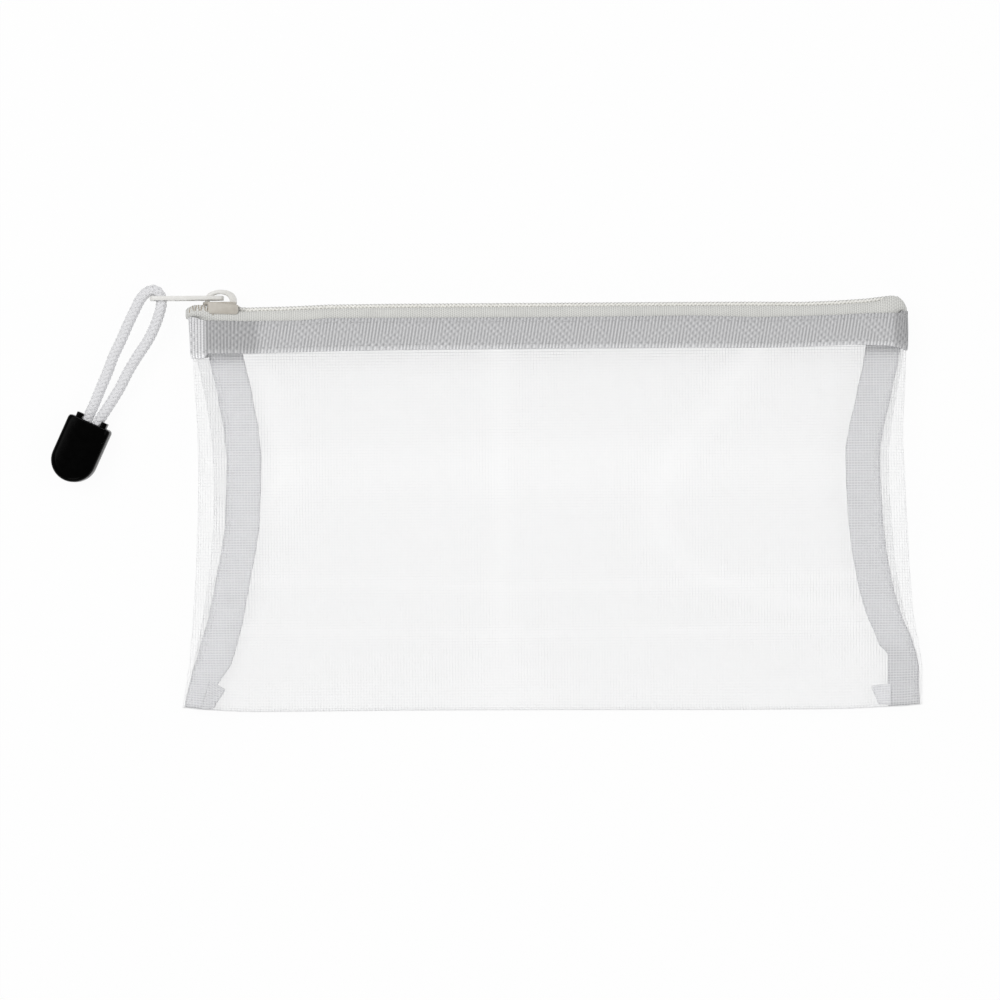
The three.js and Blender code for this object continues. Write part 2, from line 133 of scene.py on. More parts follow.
class Nodes:
    """A material's node tree, with short calls for the few kinds of node used here."""

    def __init__(self, name):
        self.material = bpy.data.materials.new(name)
        self.material.use_nodes = True
        self.tree = self.material.node_tree
        self.shader = self.tree.nodes["Principled BSDF"]

    def add(self, kind, **settings):
        node = self.tree.nodes.new(kind)
        for key, value in settings.items():
            setattr(node, key, value)
        return node

    def link(self, output, socket):
        self.tree.links.new(output, socket)

    def feed(self, sockets, values):
        for socket, value in zip(sockets, values):
            if hasattr(value, "links"):
                self.link(value, socket)
            else:
                socket.default_value = value

    def math(self, operation, a, b=0.0, c=0.0):
        node = self.add("ShaderNodeMath", operation=operation)
        self.feed(node.inputs, (a, b, c))
        return node.outputs[0]

    def map(self, value, low, high, to_low, to_high):
        node = self.add("ShaderNodeMapRange")
        self.feed(node.inputs, (value, low, high, to_low, to_high))
        return node.outputs[0]

    def noise(self, size, detail=2.0):
        """Noise from 0 to 1 whose blobs are about size mm, on the object's own coordinates."""
        node = self.add("ShaderNodeTexNoise")
        self.link(self.add("ShaderNodeTexCoord").outputs["Object"], node.inputs["Vector"])
        node.inputs["Scale"].default_value = 1 / (size * MM)
        node.inputs["Detail"].default_value = detail
        return node.outputs[0]

    def weave_place(self):
        """The two distances, in mm, along and across a woven piece."""
        split = self.add("ShaderNodeSeparateXYZ")
        self.link(self.add("ShaderNodeUVMap", uv_map="weave").outputs[0], split.inputs[0])
        return split.outputs[0], split.outputs[1]

    def swing(self, turns):
        """A sine wave from 0 to 1."""
        return self.math("MULTIPLY_ADD", self.math("SINE", turns), 0.5, 0.5)

    def wave(self, distance, pitch):
        """A wave from 0 to 1 with the given pitch in mm."""
        return self.swing(self.math("MULTIPLY", distance, 2 * math.pi / pitch))

    def warp_turns(self, along, across, rib, yarn):
        """Turns across the warp yarns, which change places with their neighbours at each rib."""
        ribs = self.math("FLOOR", self.math("DIVIDE", along, rib))
        return self.math("MULTIPLY_ADD", across, 2 * math.pi / yarn, self.math("MULTIPLY", ribs, math.pi))

    def colour(self, level, light, dark, toned=False):
        """The colour, dark at level 0 and light at 1, and times the tone that the mesh carries, which holds
        painted light and shade on the band and the right ribbon.
        """
        node = self.add("ShaderNodeMix", data_type="RGBA")
        self.feed((node.inputs["Factor"], node.inputs[6], node.inputs[7]), (level, rgb(*dark), rgb(*light)))
        colour = node.outputs[2]
        if toned:
            tone = self.add("ShaderNodeAttribute", attribute_name="tone").outputs["Fac"]
            node = self.add("ShaderNodeVectorMath", operation="SCALE")
            self.feed((node.inputs[0], node.inputs["Scale"]), (colour, tone))
            colour = node.outputs[0]
        self.link(colour, self.shader.inputs["Base Color"])

    def roughness(self, value, smooth, rough, low=0.3, high=0.7):
        """The surface's roughness, from smooth to rough as value goes from low to high."""
        self.link(self.map(value, low, high, smooth, rough), self.shader.inputs["Roughness"])

    def bump(self, height, distance, strength=1.0):
        """A bump whose full height is distance mm."""
        node = self.add("ShaderNodeBump")
        node.inputs["Strength"].default_value = strength
        node.inputs["Distance"].default_value = distance * MM
        self.link(height, node.inputs["Height"])
        self.link(node.outputs[0], self.shader.inputs["Normal"])

    def cloth(self, level, light, dark, matt, yarn, fuzz, depth):
        """What every woven cloth has in common: toned colours, a matt surface, raised yarns and sheen."""
        self.colour(level, light, dark, True)
        self.roughness(matt, 0.72, 0.9)
        self.bump(self.math("MULTIPLY_ADD", fuzz, 0.3, self.math("MULTIPLY", yarn, 0.8)), depth)
        self.set(IOR=1.5, Specular_IOR_Level=0.3, Sheen_Weight=0.25, Sheen_Roughness=0.45)
        return self.material

    def set(self, **values):
        for key, value in values.items():
            self.shader.inputs[key.replace("_", " ")].default_value = value


def rgb(red, green, blue):
    """A colour given as it looks on screen, from 0 to 255."""
    def linear(value):
        value /= 255
        return value / 12.92 if value <= 0.04045 else ((value + 0.055) / 1.055) ** 2.4
    return (linear(red), linear(green), linear(blue), 1.0)


def mesh_material():
    """Fine nylon thread of the open mesh."""
    n = Nodes("nylon_mesh")
    n.colour(n.noise(0.9), (254, 254, 254), (251, 252, 253))
    n.roughness(n.noise(2.5), 0.38, 0.55)
    n.bump(n.noise(0.12, 1.0), 0.01, 0.4)
    n.set(IOR=1.53, Specular_IOR_Level=0.3, Sheen_Weight=0.1, Sheen_Roughness=0.5)
    return n.material


def woven_material(name, light, dark, rib, cross, depth):
    """Woven polyester: ribs across the piece, and the warp yarns that pass over them."""
    n = Nodes(name)
    along, across = n.weave_place()
    warp = n.swing(n.warp_turns(along, across, rib, cross))
    yarn = n.math("MULTIPLY_ADD", warp, 0.45, n.math("MULTIPLY", n.wave(along, rib), 0.55))
    fuzz = n.noise(*FUZZ)
    patch = n.noise(3.2)
    shade = n.math("MULTIPLY_ADD", patch, 0.35, n.math("MULTIPLY_ADD", fuzz, 0.5, yarn))
    return n.cloth(n.map(shade, 0.25, 1.25, 0.0, 1.0), light, dark, patch, yarn, fuzz, depth)


def grosgrain_material(name, light, dark, yarn, depth):
    """Ribbed ribbon whose ribs break up, in patches, into small lozenges, with painted shade in the grooves
    between the ribs.
    """
    n = Nodes(name)
    along, across = n.weave_place()
    half_turn = n.math("MULTIPLY", along, math.pi / RIB_PITCH)
    cross_turn = n.math("MULTIPLY", across, math.pi / LOZENGE_WIDTH)
    both = n.math("MULTIPLY", n.math("SINE", half_turn), n.math("SINE", cross_turn))
    lozenges = n.math("MULTIPLY_ADD", both, 0.62, 0.5)
    share = n.math("MULTIPLY", n.map(n.noise(6.0, 1.0), 0.4, 0.62, 0.0, 1.0), LOZENGE_SHARE)
    # the colour goes from light to dark across each rib: partly painted shade in the grooves, partly the
    # weave's own pattern
    ribs = n.math("MULTIPLY", n.wave(along, RIB_PITCH), n.math("SUBTRACT", 1.0, share))
    woven = n.math("ADD", n.math("MULTIPLY", lozenges, share), ribs)
    warp = n.math("SINE", n.warp_turns(along, across, RIB_PITCH, yarn))
    fuzz = n.noise(*FUZZ)
    shade = n.math("MULTIPLY_ADD", fuzz, 0.5, n.math("MULTIPLY_ADD", warp, 0.25, woven))
    return n.cloth(n.map(shade, 0.0, 1.5, 0.0, 1.0), light, dark, fuzz, woven, fuzz, depth)


def yarn_material(name, light, dark, pitch=0.18, depth=0.02):
    """Twisted or braided yarn, its filaments running at a slant along each strand."""
    n = Nodes(name)
    along, across = n.weave_place()
    fibres = n.wave(n.math("MULTIPLY_ADD", across, 2.2, along), pitch)
    fuzz = n.noise(0.2, 3.0)
    shade = n.math("MULTIPLY_ADD", fuzz, 0.6, n.math("MULTIPLY", fibres, 0.5))
    n.colour(n.map(shade, 0.2, 0.9, 0.0, 1.0), light, dark)
    n.roughness(fuzz, 0.6, 0.8)
    n.bump(shade, depth)
    n.set(IOR=1.5, Specular_IOR_Level=0.35, Sheen_Weight=0.3, Sheen_Roughness=0.4)
    return n.material


def plastic_material(name, light, dark, roughness, wear, specular=0.5):
    """Moulded or painted plastic with faint flow marks and rubbed spots."""
    n = Nodes(name)
    flow = n.noise(2.2, 3.0)
    fine = n.noise(0.25)
    marks = n.math("MULTIPLY_ADD", fine, 0.4, flow)
    n.colour(n.map(n.math("MULTIPLY_ADD", fine, 0.3, flow), 0.4, 0.9, 0.0, 1.0), light, dark)
    n.roughness(marks, roughness - wear, roughness + wear, 0.4, 1.0)
    n.bump(marks, 0.02, 0.5)
    n.set(IOR=1.49, Specular_IOR_Level=specular)
    return n.material


NYLON_MESH = mesh_material()
# The band's dark colour fills the grooves between its ribs and is partly painted shade
BAND = grosgrain_material("grosgrain_band", (232, 232, 233), (148, 148, 150), 0.46, 0.12)
BAND_STITCH = yarn_material("band_thread", (200, 200, 200), (186, 186, 187))
RIBBON = woven_material("seam_ribbon", (246, 246, 248), (216, 216, 219), 0.8, 0.4, 0.1)
TAPE = woven_material("zipper_tape", (230, 230, 226), (182, 182, 179), 0.7, 0.6, 0.08)
STITCH = yarn_material("sewing_thread", (226, 226, 224), (200, 200, 198))
RIBBON_STITCH = yarn_material("ribbon_thread", (250, 250, 251), (238, 238, 240))
BRAID = yarn_material("braided_cord", (246, 246, 248), (224, 224, 226), 0.22, 0.03)
COIL = plastic_material("nylon_coil", (252, 251, 247), (243, 242, 237), 0.4, 0.05, 0.3)
DASH = yarn_material("coil_thread", (212, 211, 206), (190, 189, 184))
TACK = yarn_material("end_tack_thread", (190, 178, 160), (160, 148, 132))
# The slider body's colours are darker than its arch's, though both are one moulded piece: painted shade, as
# the body's faces turn sideways
CREAM_WITH_PAINTED_SHADE = plastic_material("cream_slider", (201, 196, 186), (184, 178, 168), 0.36, 0.08)
PALE = plastic_material("pale_pull_tab", (238, 237, 234), (228, 227, 223), 0.34, 0.06)
BLACK = plastic_material("black_end", (3, 3, 3), (1, 1, 1), 0.16, 0.04, 0.03)


# Mesh helpers
def piece(name, points, faces, material, weave=None, tone=1.0, smooth=True):
    """A mesh object from points in mm, with its place in the weave and its tone by point."""
    mesh = bpy.data.meshes.new(name)
    mesh.from_pydata((np.asarray(points, float) * MM).tolist(), [], faces)
    mesh.materials.append(material)
    if weave is not None:
        corner_points = np.zeros(len(mesh.loops), np.int32)
        mesh.loops.foreach_get("vertex_index", corner_points)
        layer = mesh.uv_layers.new(name="weave")
        layer.data.foreach_set("uv", np.asarray(weave, np.float32)[corner_points].ravel())
    tones = np.zeros(len(points), np.float32) + np.asarray(tone, np.float32)
    mesh.attributes.new("tone", "FLOAT", "POINT").data.foreach_set("value", tones)
    if smooth:
        mesh.shade_smooth()
    else:
        mesh.shade_flat()
    mesh.update()
    made = bpy.data.objects.new(name, mesh)
    bpy.context.scene.collection.objects.link(made)
    return made


def unit(vectors):
    """The same directions, with length 1."""
    return vectors / np.maximum(np.linalg.norm(vectors, axis=-1, keepdims=True), 1e-9)


def directions(path, axis, sign=1):
    """The same direction, along an axis, for every point of a path."""
    same = np.zeros_like(path)
    same[:, axis] = sign
    return same


def lengths(*coordinates):
    """The distance along a line at each of its points."""
    steps = np.sqrt(sum(np.diff(c) ** 2 for c in coordinates))
    return np.concatenate([[0], np.cumsum(steps)])


def sampled(at, along, values):
    """Rows of values, known at the distances along, read at other distances."""
    return np.stack([np.interp(at, along, column) for column in values.T], axis=-1)


def woven_grid(along, across):
    """The place in the weave of each point in a grid."""
    return np.stack(np.broadcast_arrays(along, across), axis=-1)


def mirrored(outline):
    """An outline's points below the axis, in the order that goes on round the shape."""
    return [(a, -b) for a, b in outline[::-1]]


class Gathered:
    """Points and faces of many strands or loops, gathered into one mesh."""

    def __init__(self):
        self.points, self.faces, self.weave, self.tones = [], [], [], []
        self.count = 0

    def loft(self, rings, weave=None, capped=False, tone=1.0):
        """Joins each ring of points to the next. Ring, point and coordinate are the axes of rings."""
        rings = np.asarray(rings, float)
        steps, around = rings.shape[:2]
        if weave is None:
            weave = np.zeros((steps, around, 2))
        index = self.count + np.arange(steps * around).reshape(steps, around)
        beside = np.roll(index, -1, axis=1)
        quads = np.stack([index[:-1], beside[:-1], beside[1:], index[1:]], axis=-1)
        self.faces.extend(quads.reshape(-1, 4).tolist())
        if capped:
            self.faces.append(index[0][::-1].tolist())
            self.faces.append(index[-1].tolist())
        self.points.append(rings.reshape(-1, 3))
        self.weave.append(weave.reshape(-1, 2))
        self.tones.append(np.broadcast_to(tone, (steps, around)).reshape(-1))
        self.count += steps * around

    def tube(self, path, normals, wide, thick, sides, capped=False):
        """A tube along path, wide across the normals' side and thick along them (half sizes)."""
        tangent = unit(np.gradient(path, axis=0))
        normals = unit(normals - (normals * tangent).sum(1, keepdims=True) * tangent)
        beside = np.cross(tangent, normals)
        angle = 2 * np.pi * (np.arange(sides) + 0.5) / sides
        out = np.cos(angle)[None, :, None] * beside[:, None] * np.reshape(wide, (-1, 1, 1))
        out = out + np.sin(angle)[None, :, None] * normals[:, None] * np.reshape(thick, (-1, 1, 1))
        self.loft(path[:, None] + out, woven_grid(lengths(*path.T)[:, None], angle / np.pi), capped)

    def made(self, name, material, side=0, hand=0):
        """The gathered mesh as a piece, whose name also tells its panel and hand."""
        if side:
            name += "_" + PANEL[side]
        if hand:
            name += "_" + HAND[hand]
        points, weave, tones = (np.concatenate(part) for part in (self.points, self.weave, self.tones))
        return piece(name, points, self.faces, material, weave, tones)


def smoothstep(value, low, high):
    share = np.clip((value - low) / (high - low), 0, 1)
    return share * share * (3 - 2 * share)


def rounded_bump(share):
    return 0.5 - 0.5 * np.cos(2 * np.pi * np.clip(share, 0, 1))


# The pouch's surfaces, by the same formulas as in the CAD source
SEAM_HALF = 1.1
TUCK = (1.6, 0.22)
LEAST_REACH = 0.4


def up_the_side(y):
    return np.clip((y - FOLD_Y) / (BAND_TOP_Y - FOLD_Y), 0, 1)


# Half widths up the two sides: of the seam, where the ribbon's outer edge lies, and of the cloth
SIDE_Y = [
    -72, -65, -61.4, -53.7, -46.1, -38.4, -30.8, -23.1, -15.5, -7.8,
    0, 7.5, 15.2, 22.8, 30.5, 38.2, 45.8, 53, 60.4, 68,
]
SEAM = {
    -1: [
        119.4, 118.6, 118.1, 116.4, 113.9, 111.7, 109.8, 108.0, 106.5, 105.3,
        104.6, 104.2, 104.2, 104.6, 105.6, 107.1, 109.0, 110.6, 111.5, 111.5,
    ],
    1: [
        117.0, 116.7, 116.7, 116.8, 115.5, 112.2, 109.5, 107.6, 106.2, 105.6,
        104.8, 104.3, 104.1, 105.1, 106.7, 108.5, 110.5, 111.4, 111.6, 111.6,
    ],
}
OUTLINE = {
    -1: [
        119.6, 119.2, 118.8, 117.4, 116.4, 115.7, 115.0, 114.3, 113.9, 113.3,
        113.1, 113.0, 112.8, 112.9, 113.4, 113.9, 114.3, 114.5, 115.1, 115.1,
    ],
    1: [
        117.4, 117.5, 117.6, 117.8, 116.9, 115.1, 114.1, 113.5, 112.9, 112.4,
        112.1, 111.8, 111.4, 111.2, 111.6, 112.1, 112.5, 112.6, 112.6, 112.6,
    ],
}


def smoothed(values, y):
    """A table's value at y, its corners rounded over a few millimetres."""
    around = [np.interp(np.asarray(y) + off, SIDE_Y, values) for off in (-4.5, -2.2, 0.0, 2.2, 4.5)]
    return sum(around) / len(around)


def seam_x(y, hand):
    return smoothed(SEAM[hand], y)


def fold_shift(x, y):
    """How far the folded edge and the cloth near it stand off a straight line, in Y."""
    at = [-118, -112, -97, -50, 0, 56, 92, 107, 112, 118]
    by = [1.5, 0.7, 0.0, 0.1, -0.1, -0.5, -0.5, 0.1, 0.3, 0.9]
    return np.interp(x, at, by) * (1 - smoothstep(np.asarray(y), -65, -45))


def seam_z(y):
    rise = np.power(np.sin(np.pi / 2 * up_the_side(y)), 0.8)
    return FOLD_HALF_THICKNESS + (CHAIN_Z - FOLD_HALF_THICKNESS) * rise


def lobe_reach(side, hand, y):
    """How far a panel bulges past the seam at y."""
    front = max(float(smoothed(OUTLINE[hand], y) - seam_x(y, hand)), LEAST_REACH)
    if side > 0:
        return front
    top = min(TOP_LOBE[hand] * float(up_the_side(y)) ** 2, front)
    return max(top + (front - top) * BACK_LOBE / FRONT_LOBE, LEAST_REACH)


def panel_height(side, y):
    """How high a panel's edge line is at y, and how far its middle is crowned above it."""
    start = FOLD_Y + FOLD_HALF_THICKNESS
    s = (y - start) / (BAND_BOTTOM_Y - start)
    if side > 0:
        low = 2 * FOLD_HALF_THICKNESS - MESH_THICKNESS / 2
        high = CHAIN_Z + TAPE_HALF - MESH_THICKNESS / 2
        swell = rounded_bump(s)
        return low + (high - low) * smoothstep(s, 0, 1) + SIDE_RISE * swell, CROWN_RISE * swell
    under = smoothstep(y, BAND_BOTTOM_Y - BAND_WIDTH, BAND_BOTTOM_Y)
    return MESH_THICKNESS / 2 + (BAND_THICKNESS + CLEARANCE) * under, 0.0


def half_section(side, hand, y, edge_z, crown, grow=0.0, low_turn=-0.5, tuck=True, middle=14, lobe=10):
    """Points in X and Z from a panel's middle to its seam, on one hand."""
    seam = float(seam_x(y, hand))
    seam_height = float(seam_z(y))
    seam_edge = seam_height + side * min(SEAM_HALF, abs(edge_z - seam_height))
    low = seam_edge - side * grow
    high = edge_z + side * grow
    reach = lobe_reach(side, hand, y)
    wide = math.sqrt(reach * (reach + LOBE_INSET)) + grow
    f = np.linspace(0, 1, middle)[:-1]
    turn = np.linspace(0.5, low_turn, lobe) * np.pi
    up = (1 + np.sin(turn)) / 2
    x = np.concatenate([f * (seam - LOBE_INSET), seam + wide * np.cos(turn) - LOBE_INSET * up])
    z = np.concatenate([high + side * crown * (1 - f * f) ** 2, low + (high - low) * up])
    if tuck:
        x = np.append(x, seam - TUCK[0])
        z = np.append(z, seam_height + side * TUCK[1])
    return hand * x, z


# The mesh: a lattice of thin threads, in four pieces that meet at the fold and the middle
THREAD_PITCH = 0.92
THREAD_HALF = 0.06
THREAD_LIFT = 0.045
RETURN_SHARE = 0.55
ROW_STEP = 5
FOLD_ROWS = 6


def panel_rows(side):
    """Rows up a panel from the fold to the mesh's top edge: y, edge height, crown and facing."""
    radius = FOLD_HALF_THICKNESS - MESH_THICKNESS / 2
    rows = []
    for turn in np.linspace(0, np.pi / 2, 9)[:-1]:
        y = FOLD_Y + MESH_THICKNESS / 2 + radius * (1 - math.cos(turn))
        z = FOLD_HALF_THICKNESS + side * radius * math.sin(turn)
        rows.append((y, z, 0.0, -math.cos(turn), side * math.sin(turn)))
    for y in np.arange(FOLD_Y + FOLD_HALF_THICKNESS, MESH_TOP_Y + 0.01, 0.5):
        rows.append((y, *panel_height(side, y), 0.0, side))
    rows = np.array(rows)
    along = lengths(rows[:, 0], rows[:, 1] + side * rows[:, 2])
    return sampled(np.arange(0, along[-1], THREAD_PITCH), along, rows)


def ripple(x, y):
    """A slight slackness of the cloth, as a small change of height."""
    wave = 0.22 * np.sin(x / 17.0 + 1.3) * np.sin(y / 13.0 + 0.4)
    return wave + 0.14 * np.sin(x / 7.1 - y / 9.0) + 0.1 * np.sin(y / 5.3 + x / 23.0 + 2.0)


def mesh_sections(side, hand):
    """The rows of one half of a panel: distances along, points, facing and half thickness of each."""
    sections = []
    for y, edge_z, crown, face_y, face_z in panel_rows(side):
        x, z = half_section(side, hand, y, edge_z, crown)
        along = lengths(x, z)
        slack = smoothstep(up_the_side(y), 0.03, 0.2) * smoothstep(BAND_BOTTOM_Y - y, 0, 12)
        still = smoothstep(along[-1] - along, 8, 24)
        wave = ripple(x, y) if side > 0 else np.abs(ripple(x, y))
        z = z + wave * slack * still
        tangent_x, tangent_z = np.gradient(x), np.gradient(z)
        share = hand * side * abs(face_z) / np.hypot(tangent_x, tangent_z)
        normal = np.stack([-tangent_z * share, np.full_like(x, face_y), tangent_x * share], axis=1)
        points = np.stack([x, y + fold_shift(x, y), z], axis=1)
        # past its outermost point the cloth turns back to the seam, under itself, and lies slacker there
        turned = smoothstep(along - along[np.argmax(hand * x)], 0.0, 0.8)
        sections.append((along, points, normal, THREAD_HALF * (1 - (1 - RETURN_SHARE) * turned)))
    return sections


def mesh_half(side, hand):
    """The threads of one half of a panel. The thread in the fold is the back panel's."""
    threads = Gathered()
    sections = mesh_sections(side, hand)
    for along, points, normal, half in (sections[1:] if side > 0 else sections):
        threads.tube(points - normal * THREAD_LIFT, normal, half, half, 4)
    ends = [along[-1] for along, _, _, _ in sections]
    for place in np.arange(THREAD_PITCH / 2, max(ends), THREAD_PITCH):
        inside = np.array([k for k, end in enumerate(ends) if end >= place])
        for run in np.split(inside, np.where(np.diff(inside) > 1)[0] + 1):
            if len(run) < 3:
                continue
            path, facing, halves = [], [], []
            for k in sorted({*run[::ROW_STEP], run[-1], *run[run < FOLD_ROWS]}):
                along, points, normal, half = sections[k]
                path.append(sampled(place, along, points))
                facing.append(sampled(place, along, normal))
                halves.append(np.interp(place, along, half))
            path, facing = np.array(path), np.array(facing)
            threads.tube(path + facing * THREAD_LIFT, facing, halves, halves, 4)
    return threads.made("mesh", NYLON_MESH, side, hand)


# Woven strips: closed sections joined along their length
def round_section(values):
    """Values at a strip's first edge, on its top, at its last edge and back along its underside."""
    return np.concatenate([values[:, :1], values, values[:, -1:], values[:, ::-1]], axis=1)


def strip(sheet, thickness, weave, tone=1.0, relief=0.0):
    """A strip from a grid of points [along][across], with rounded long edges."""
    across = np.gradient(sheet, axis=1)
    normal = unit(np.cross(np.gradient(sheet, axis=0), across))
    across = unit(across)
    half = thickness / 2
    raised = normal * (half + np.reshape(relief, (*np.shape(relief), 1)))
    first = sheet[:, :1] - across[:, :1] * half
    last = sheet[:, -1:] + across[:, -1:] * half
    rings = np.concatenate([first, sheet + raised, last, (sheet - raised)[:, ::-1]], axis=1)
    gathered = Gathered()
    gathered.loft(rings, round_section(weave), True, round_section(np.broadcast_to(tone, sheet.shape[:2])))
    return gathered


BAND_GROW = 0.45
RIBBON_WIDTH = 11.05


def band_shift(x, share):
    """How far the band's edges stand off straight lines, in Y. share runs from 0 low to 1 on top."""
    low_x = [-117, -110.4, -109.4, -97, -71, -41, 15, 72, 97, 107, 113]
    low = [-1.3, -1.2, 0.2, 0.1, 0.6, 1.0, 1.0, 0.7, 1.4, 1.0, -0.4]
    top_x = [-117, -113.8, -110.5, -97, -80, -71, 0, 45, 66, 90, 100, 107, 110.2, 111, 113]
    top = [1.0, 0.8, -0.4, -0.8, -0.7, 0.0, -0.3, -0.1, -0.8, -0.3, 0.2, 0.3, 0.3, 1.1, 1.1]
    return np.interp(x, low_x, low) * (1 - share) + np.interp(x, top_x, top) * share


def band_painted_light(x, up, hand):
    """Painted shade at the band's ends, where the seams behind it hold back the light that comes through it,
    and painted light on its left end, a single layer, and along its free lower edge.
    """
    # dark is painted shade, and pale and edge are painted light
    if hand < 0:
        dark = smoothstep(-x, 92, 95) * (1 - smoothstep(-x, 109.3, 110.4))
        pale = smoothstep(-x, 109.8, 111)
    else:
        dark = smoothstep(x, 107.8, 109)
        pale = 0.0
    edge = 0.1 * (1 - smoothstep(up, 0.8, 2.4)) + 0.2 * (1 - smoothstep(up, 0.0, 0.7))
    return (1 - 0.21 * dark + 0.24 * pale) * (1 + edge)


def band_half(side, hand):
    """Half of the ribbed band round the top of one panel."""
    rows = []
    step = RIB_PITCH / 6
    for y in np.linspace(BAND_BOTTOM_Y, BAND_TOP_Y, 9):
        edge_z, _ = panel_height(side, y)
        x, z = half_section(side, hand, y, edge_z, 0.0, BAND_GROW, -0.46, False, 40, 40)
        along = lengths(x, z)
        line = np.stack([x, np.full_like(x, y), z], axis=1)
        rows.append(sampled(np.arange(0, along[-1], step), along, line))
    count = min(len(row) for row in rows)
    sheet = np.stack([row[:count] for row in rows], axis=1)
    x = sheet[..., 0]
    up = sheet[..., 1] - BAND_BOTTOM_Y
    share = up / BAND_WIDTH
    sheet[..., 1] += band_shift(x, share)
    if side < 0:
        # the hidden band's lower edge lies a little higher than the front's
        sheet[..., 1] += 0.55 * (1 - share)
    along = np.arange(count)[:, None] * step * hand - 0.15 * smoothstep(x, -104, -92) * up
    ribs = 0.13 * np.abs(np.cos(np.pi * along / RIB_PITCH)) ** 0.7
    relief = ribs - 0.2 * (1 - smoothstep(up, 0, 1.4))
    # the band's tone carries its painted light and shade
    band = strip(sheet, BAND_THICKNESS, woven_grid(along, up), band_painted_light(x, up, hand), relief)
    return smooth_by_angle(band.made("band", BAND, side, hand), 80)


def ribbon_width(y, hand):
    """The width of the ribbon as it lies, drawn in where it is bunched at the fold."""
    if hand < 0:
        at = [-65, -57, -55.5, -53.5, -51.5, -49.5, -42, -34, -28]
        more = [-2.2, -2.4, -1.8, -1.0, 0.0, 0.6, 0.7, 0.3, 0.0]
    else:
        at = [-54, -51, -49.5, -47.7, -46.3, -44.9]
        more = [-1.0, -1.3, -1.6, -1.9, -1.3, 0.0]
    return RIBBON_WIDTH + np.interp(y, at, more)


# Half of the ribbon's section from its open edge to its fold, and of the cleft that holds the cloth
RIBBON_FACE = [
    (0.0, 0.55), (1.6, 0.58), (3.2, 0.56), (5.5, 0.58), (8.0, 0.56), (10.2, 0.58), (10.8, 0.42),
]
RIBBON_CLEFT = [(1.4, 0.22), (0.0, 0.3)]


def ribbon_tone(y, hand):
    """The cut end is frayed and darker, and the right ribbon lies in a little shade, most near the fold."""
    tone = 0.84 + 0.16 * smoothstep(y, -64.2, -63.0)
    if hand > 0:
        tone = tone * (1 - 0.045 - 0.065 * (1 - smoothstep(y, -50, -40)))
    return tone


def binding_ribbon(hand):
    """The ribbon folded over the seam's edges, inside the pouch."""
    y = np.arange(FOLD_Y + 0.6, TAPE_END_Y - 0.6, 0.8)
    outside = RIBBON_FACE + [(RIBBON_WIDTH, 0.0)] + mirrored(RIBBON_FACE)
    section = np.array(outside + mirrored(RIBBON_CLEFT) + RIBBON_CLEFT)
    rings = np.zeros((len(y), len(section), 3))
    edge = seam_x(y, hand) + 0.12 * np.sin(y / 4.1) + 0.06 * np.sin(y / 1.7 + 1)
    share = ribbon_width(y, hand) / RIBBON_WIDTH
    rings[..., 0] = hand * (edge[:, None] - section[:, 0] * share[:, None])
    rings[..., 1] = y[:, None] + fold_shift(rings[..., 0], y[:, None])
    wave = 0.1 * np.sin(y / 6.0 + hand) + 0.05 * np.sin(y / 2.3)
    rings[..., 2] = (seam_z(y) + wave)[:, None] + section[:, 1]
    weave = woven_grid(y[:, None], lengths(*section.T))
    if hand < 0:
        rings, weave = rings[:, ::-1], weave[:, ::-1]
    gathered = Gathered()
    gathered.loft(rings, weave, True, ribbon_tone(y, hand)[:, None])
    return gathered.made("seam_ribbon", RIBBON, hand=hand)


# Sewing thread: how high a stitch lies over the cloth along its length, dipping in at its ends
STITCH_LIFT = np.array([-0.16, 0.02, 0.08, 0.08, 0.02, -0.16])


def stitches(gathered, path, normals, pitch=2.6, size=0.13, share=0.72):
    """A row of stitches along a path."""
    along = lengths(*path.T)
    for start in np.arange(0.3, along[-1] - pitch, pitch):
        at = start + np.linspace(0, pitch * share, len(STITCH_LIFT))
        facing = sampled(at, along, normals)
        points = sampled(at, along, path) + facing * STITCH_LIFT[:, None]
        gathered.tube(points, facing, size, size, 6, capped=True)


def band_stitches(side, hand):
    """The two rows that hold the band, near its lower and upper edges."""
    gathered = Gathered()
    for y in (BAND_BOTTOM_Y + 1.5, BAND_TOP_Y - 1.3):
        edge_z, _ = panel_height(side, y)
        x, z = half_section(side, hand, y, edge_z, 0.0, BAND_GROW + 0.35, -0.4, False, 60, 40)
        normal = unit(np.stack([-np.gradient(z), np.zeros_like(x), np.gradient(x)], axis=1) * hand * side)
        shifted = y + band_shift(x, (y - BAND_BOTTOM_Y) / BAND_WIDTH)
        stitches(gathered, np.stack([x, shifted, z], axis=1), normal, size=0.09)
    return gathered.made("band_stitches", BAND_STITCH, side, hand)


def ribbon_stitches(hand):
    """The row that holds the ribbon, seen on both of its faces."""
    gathered = Gathered()
    y = np.linspace(FOLD_Y + 2.4, BAND_BOTTOM_Y + 4, 150)
    for side in (1, -1):
        x = hand * (seam_x(y, hand) - 1.7)
        path = np.stack([x, y + fold_shift(x, y), seam_z(y) + side * 0.66], axis=1)
        stitches(gathered, path, directions(path, 2, side))
    return gathered.made("ribbon_stitches", RIBBON_STITCH, hand=hand)


# Zipper: tapes that close round both ends, and two rows of nylon coil
TIP = {-1: -116.6, 1: 112.9}
COVERED_TIP = {-1: 113.9, 1: 111.4}
COVER_FROM = 106.0
ROUND_FROM = {-1: 109.0, 1: 104.0}
RISE_FROM = {-1: 107.0, 1: 103.6}
END_RISE = 1.3
END_DROP = 1.6
TAPE_THICKNESS = 0.4
TAPE_INNER = 0.3
TAPE_BEND = 1.2


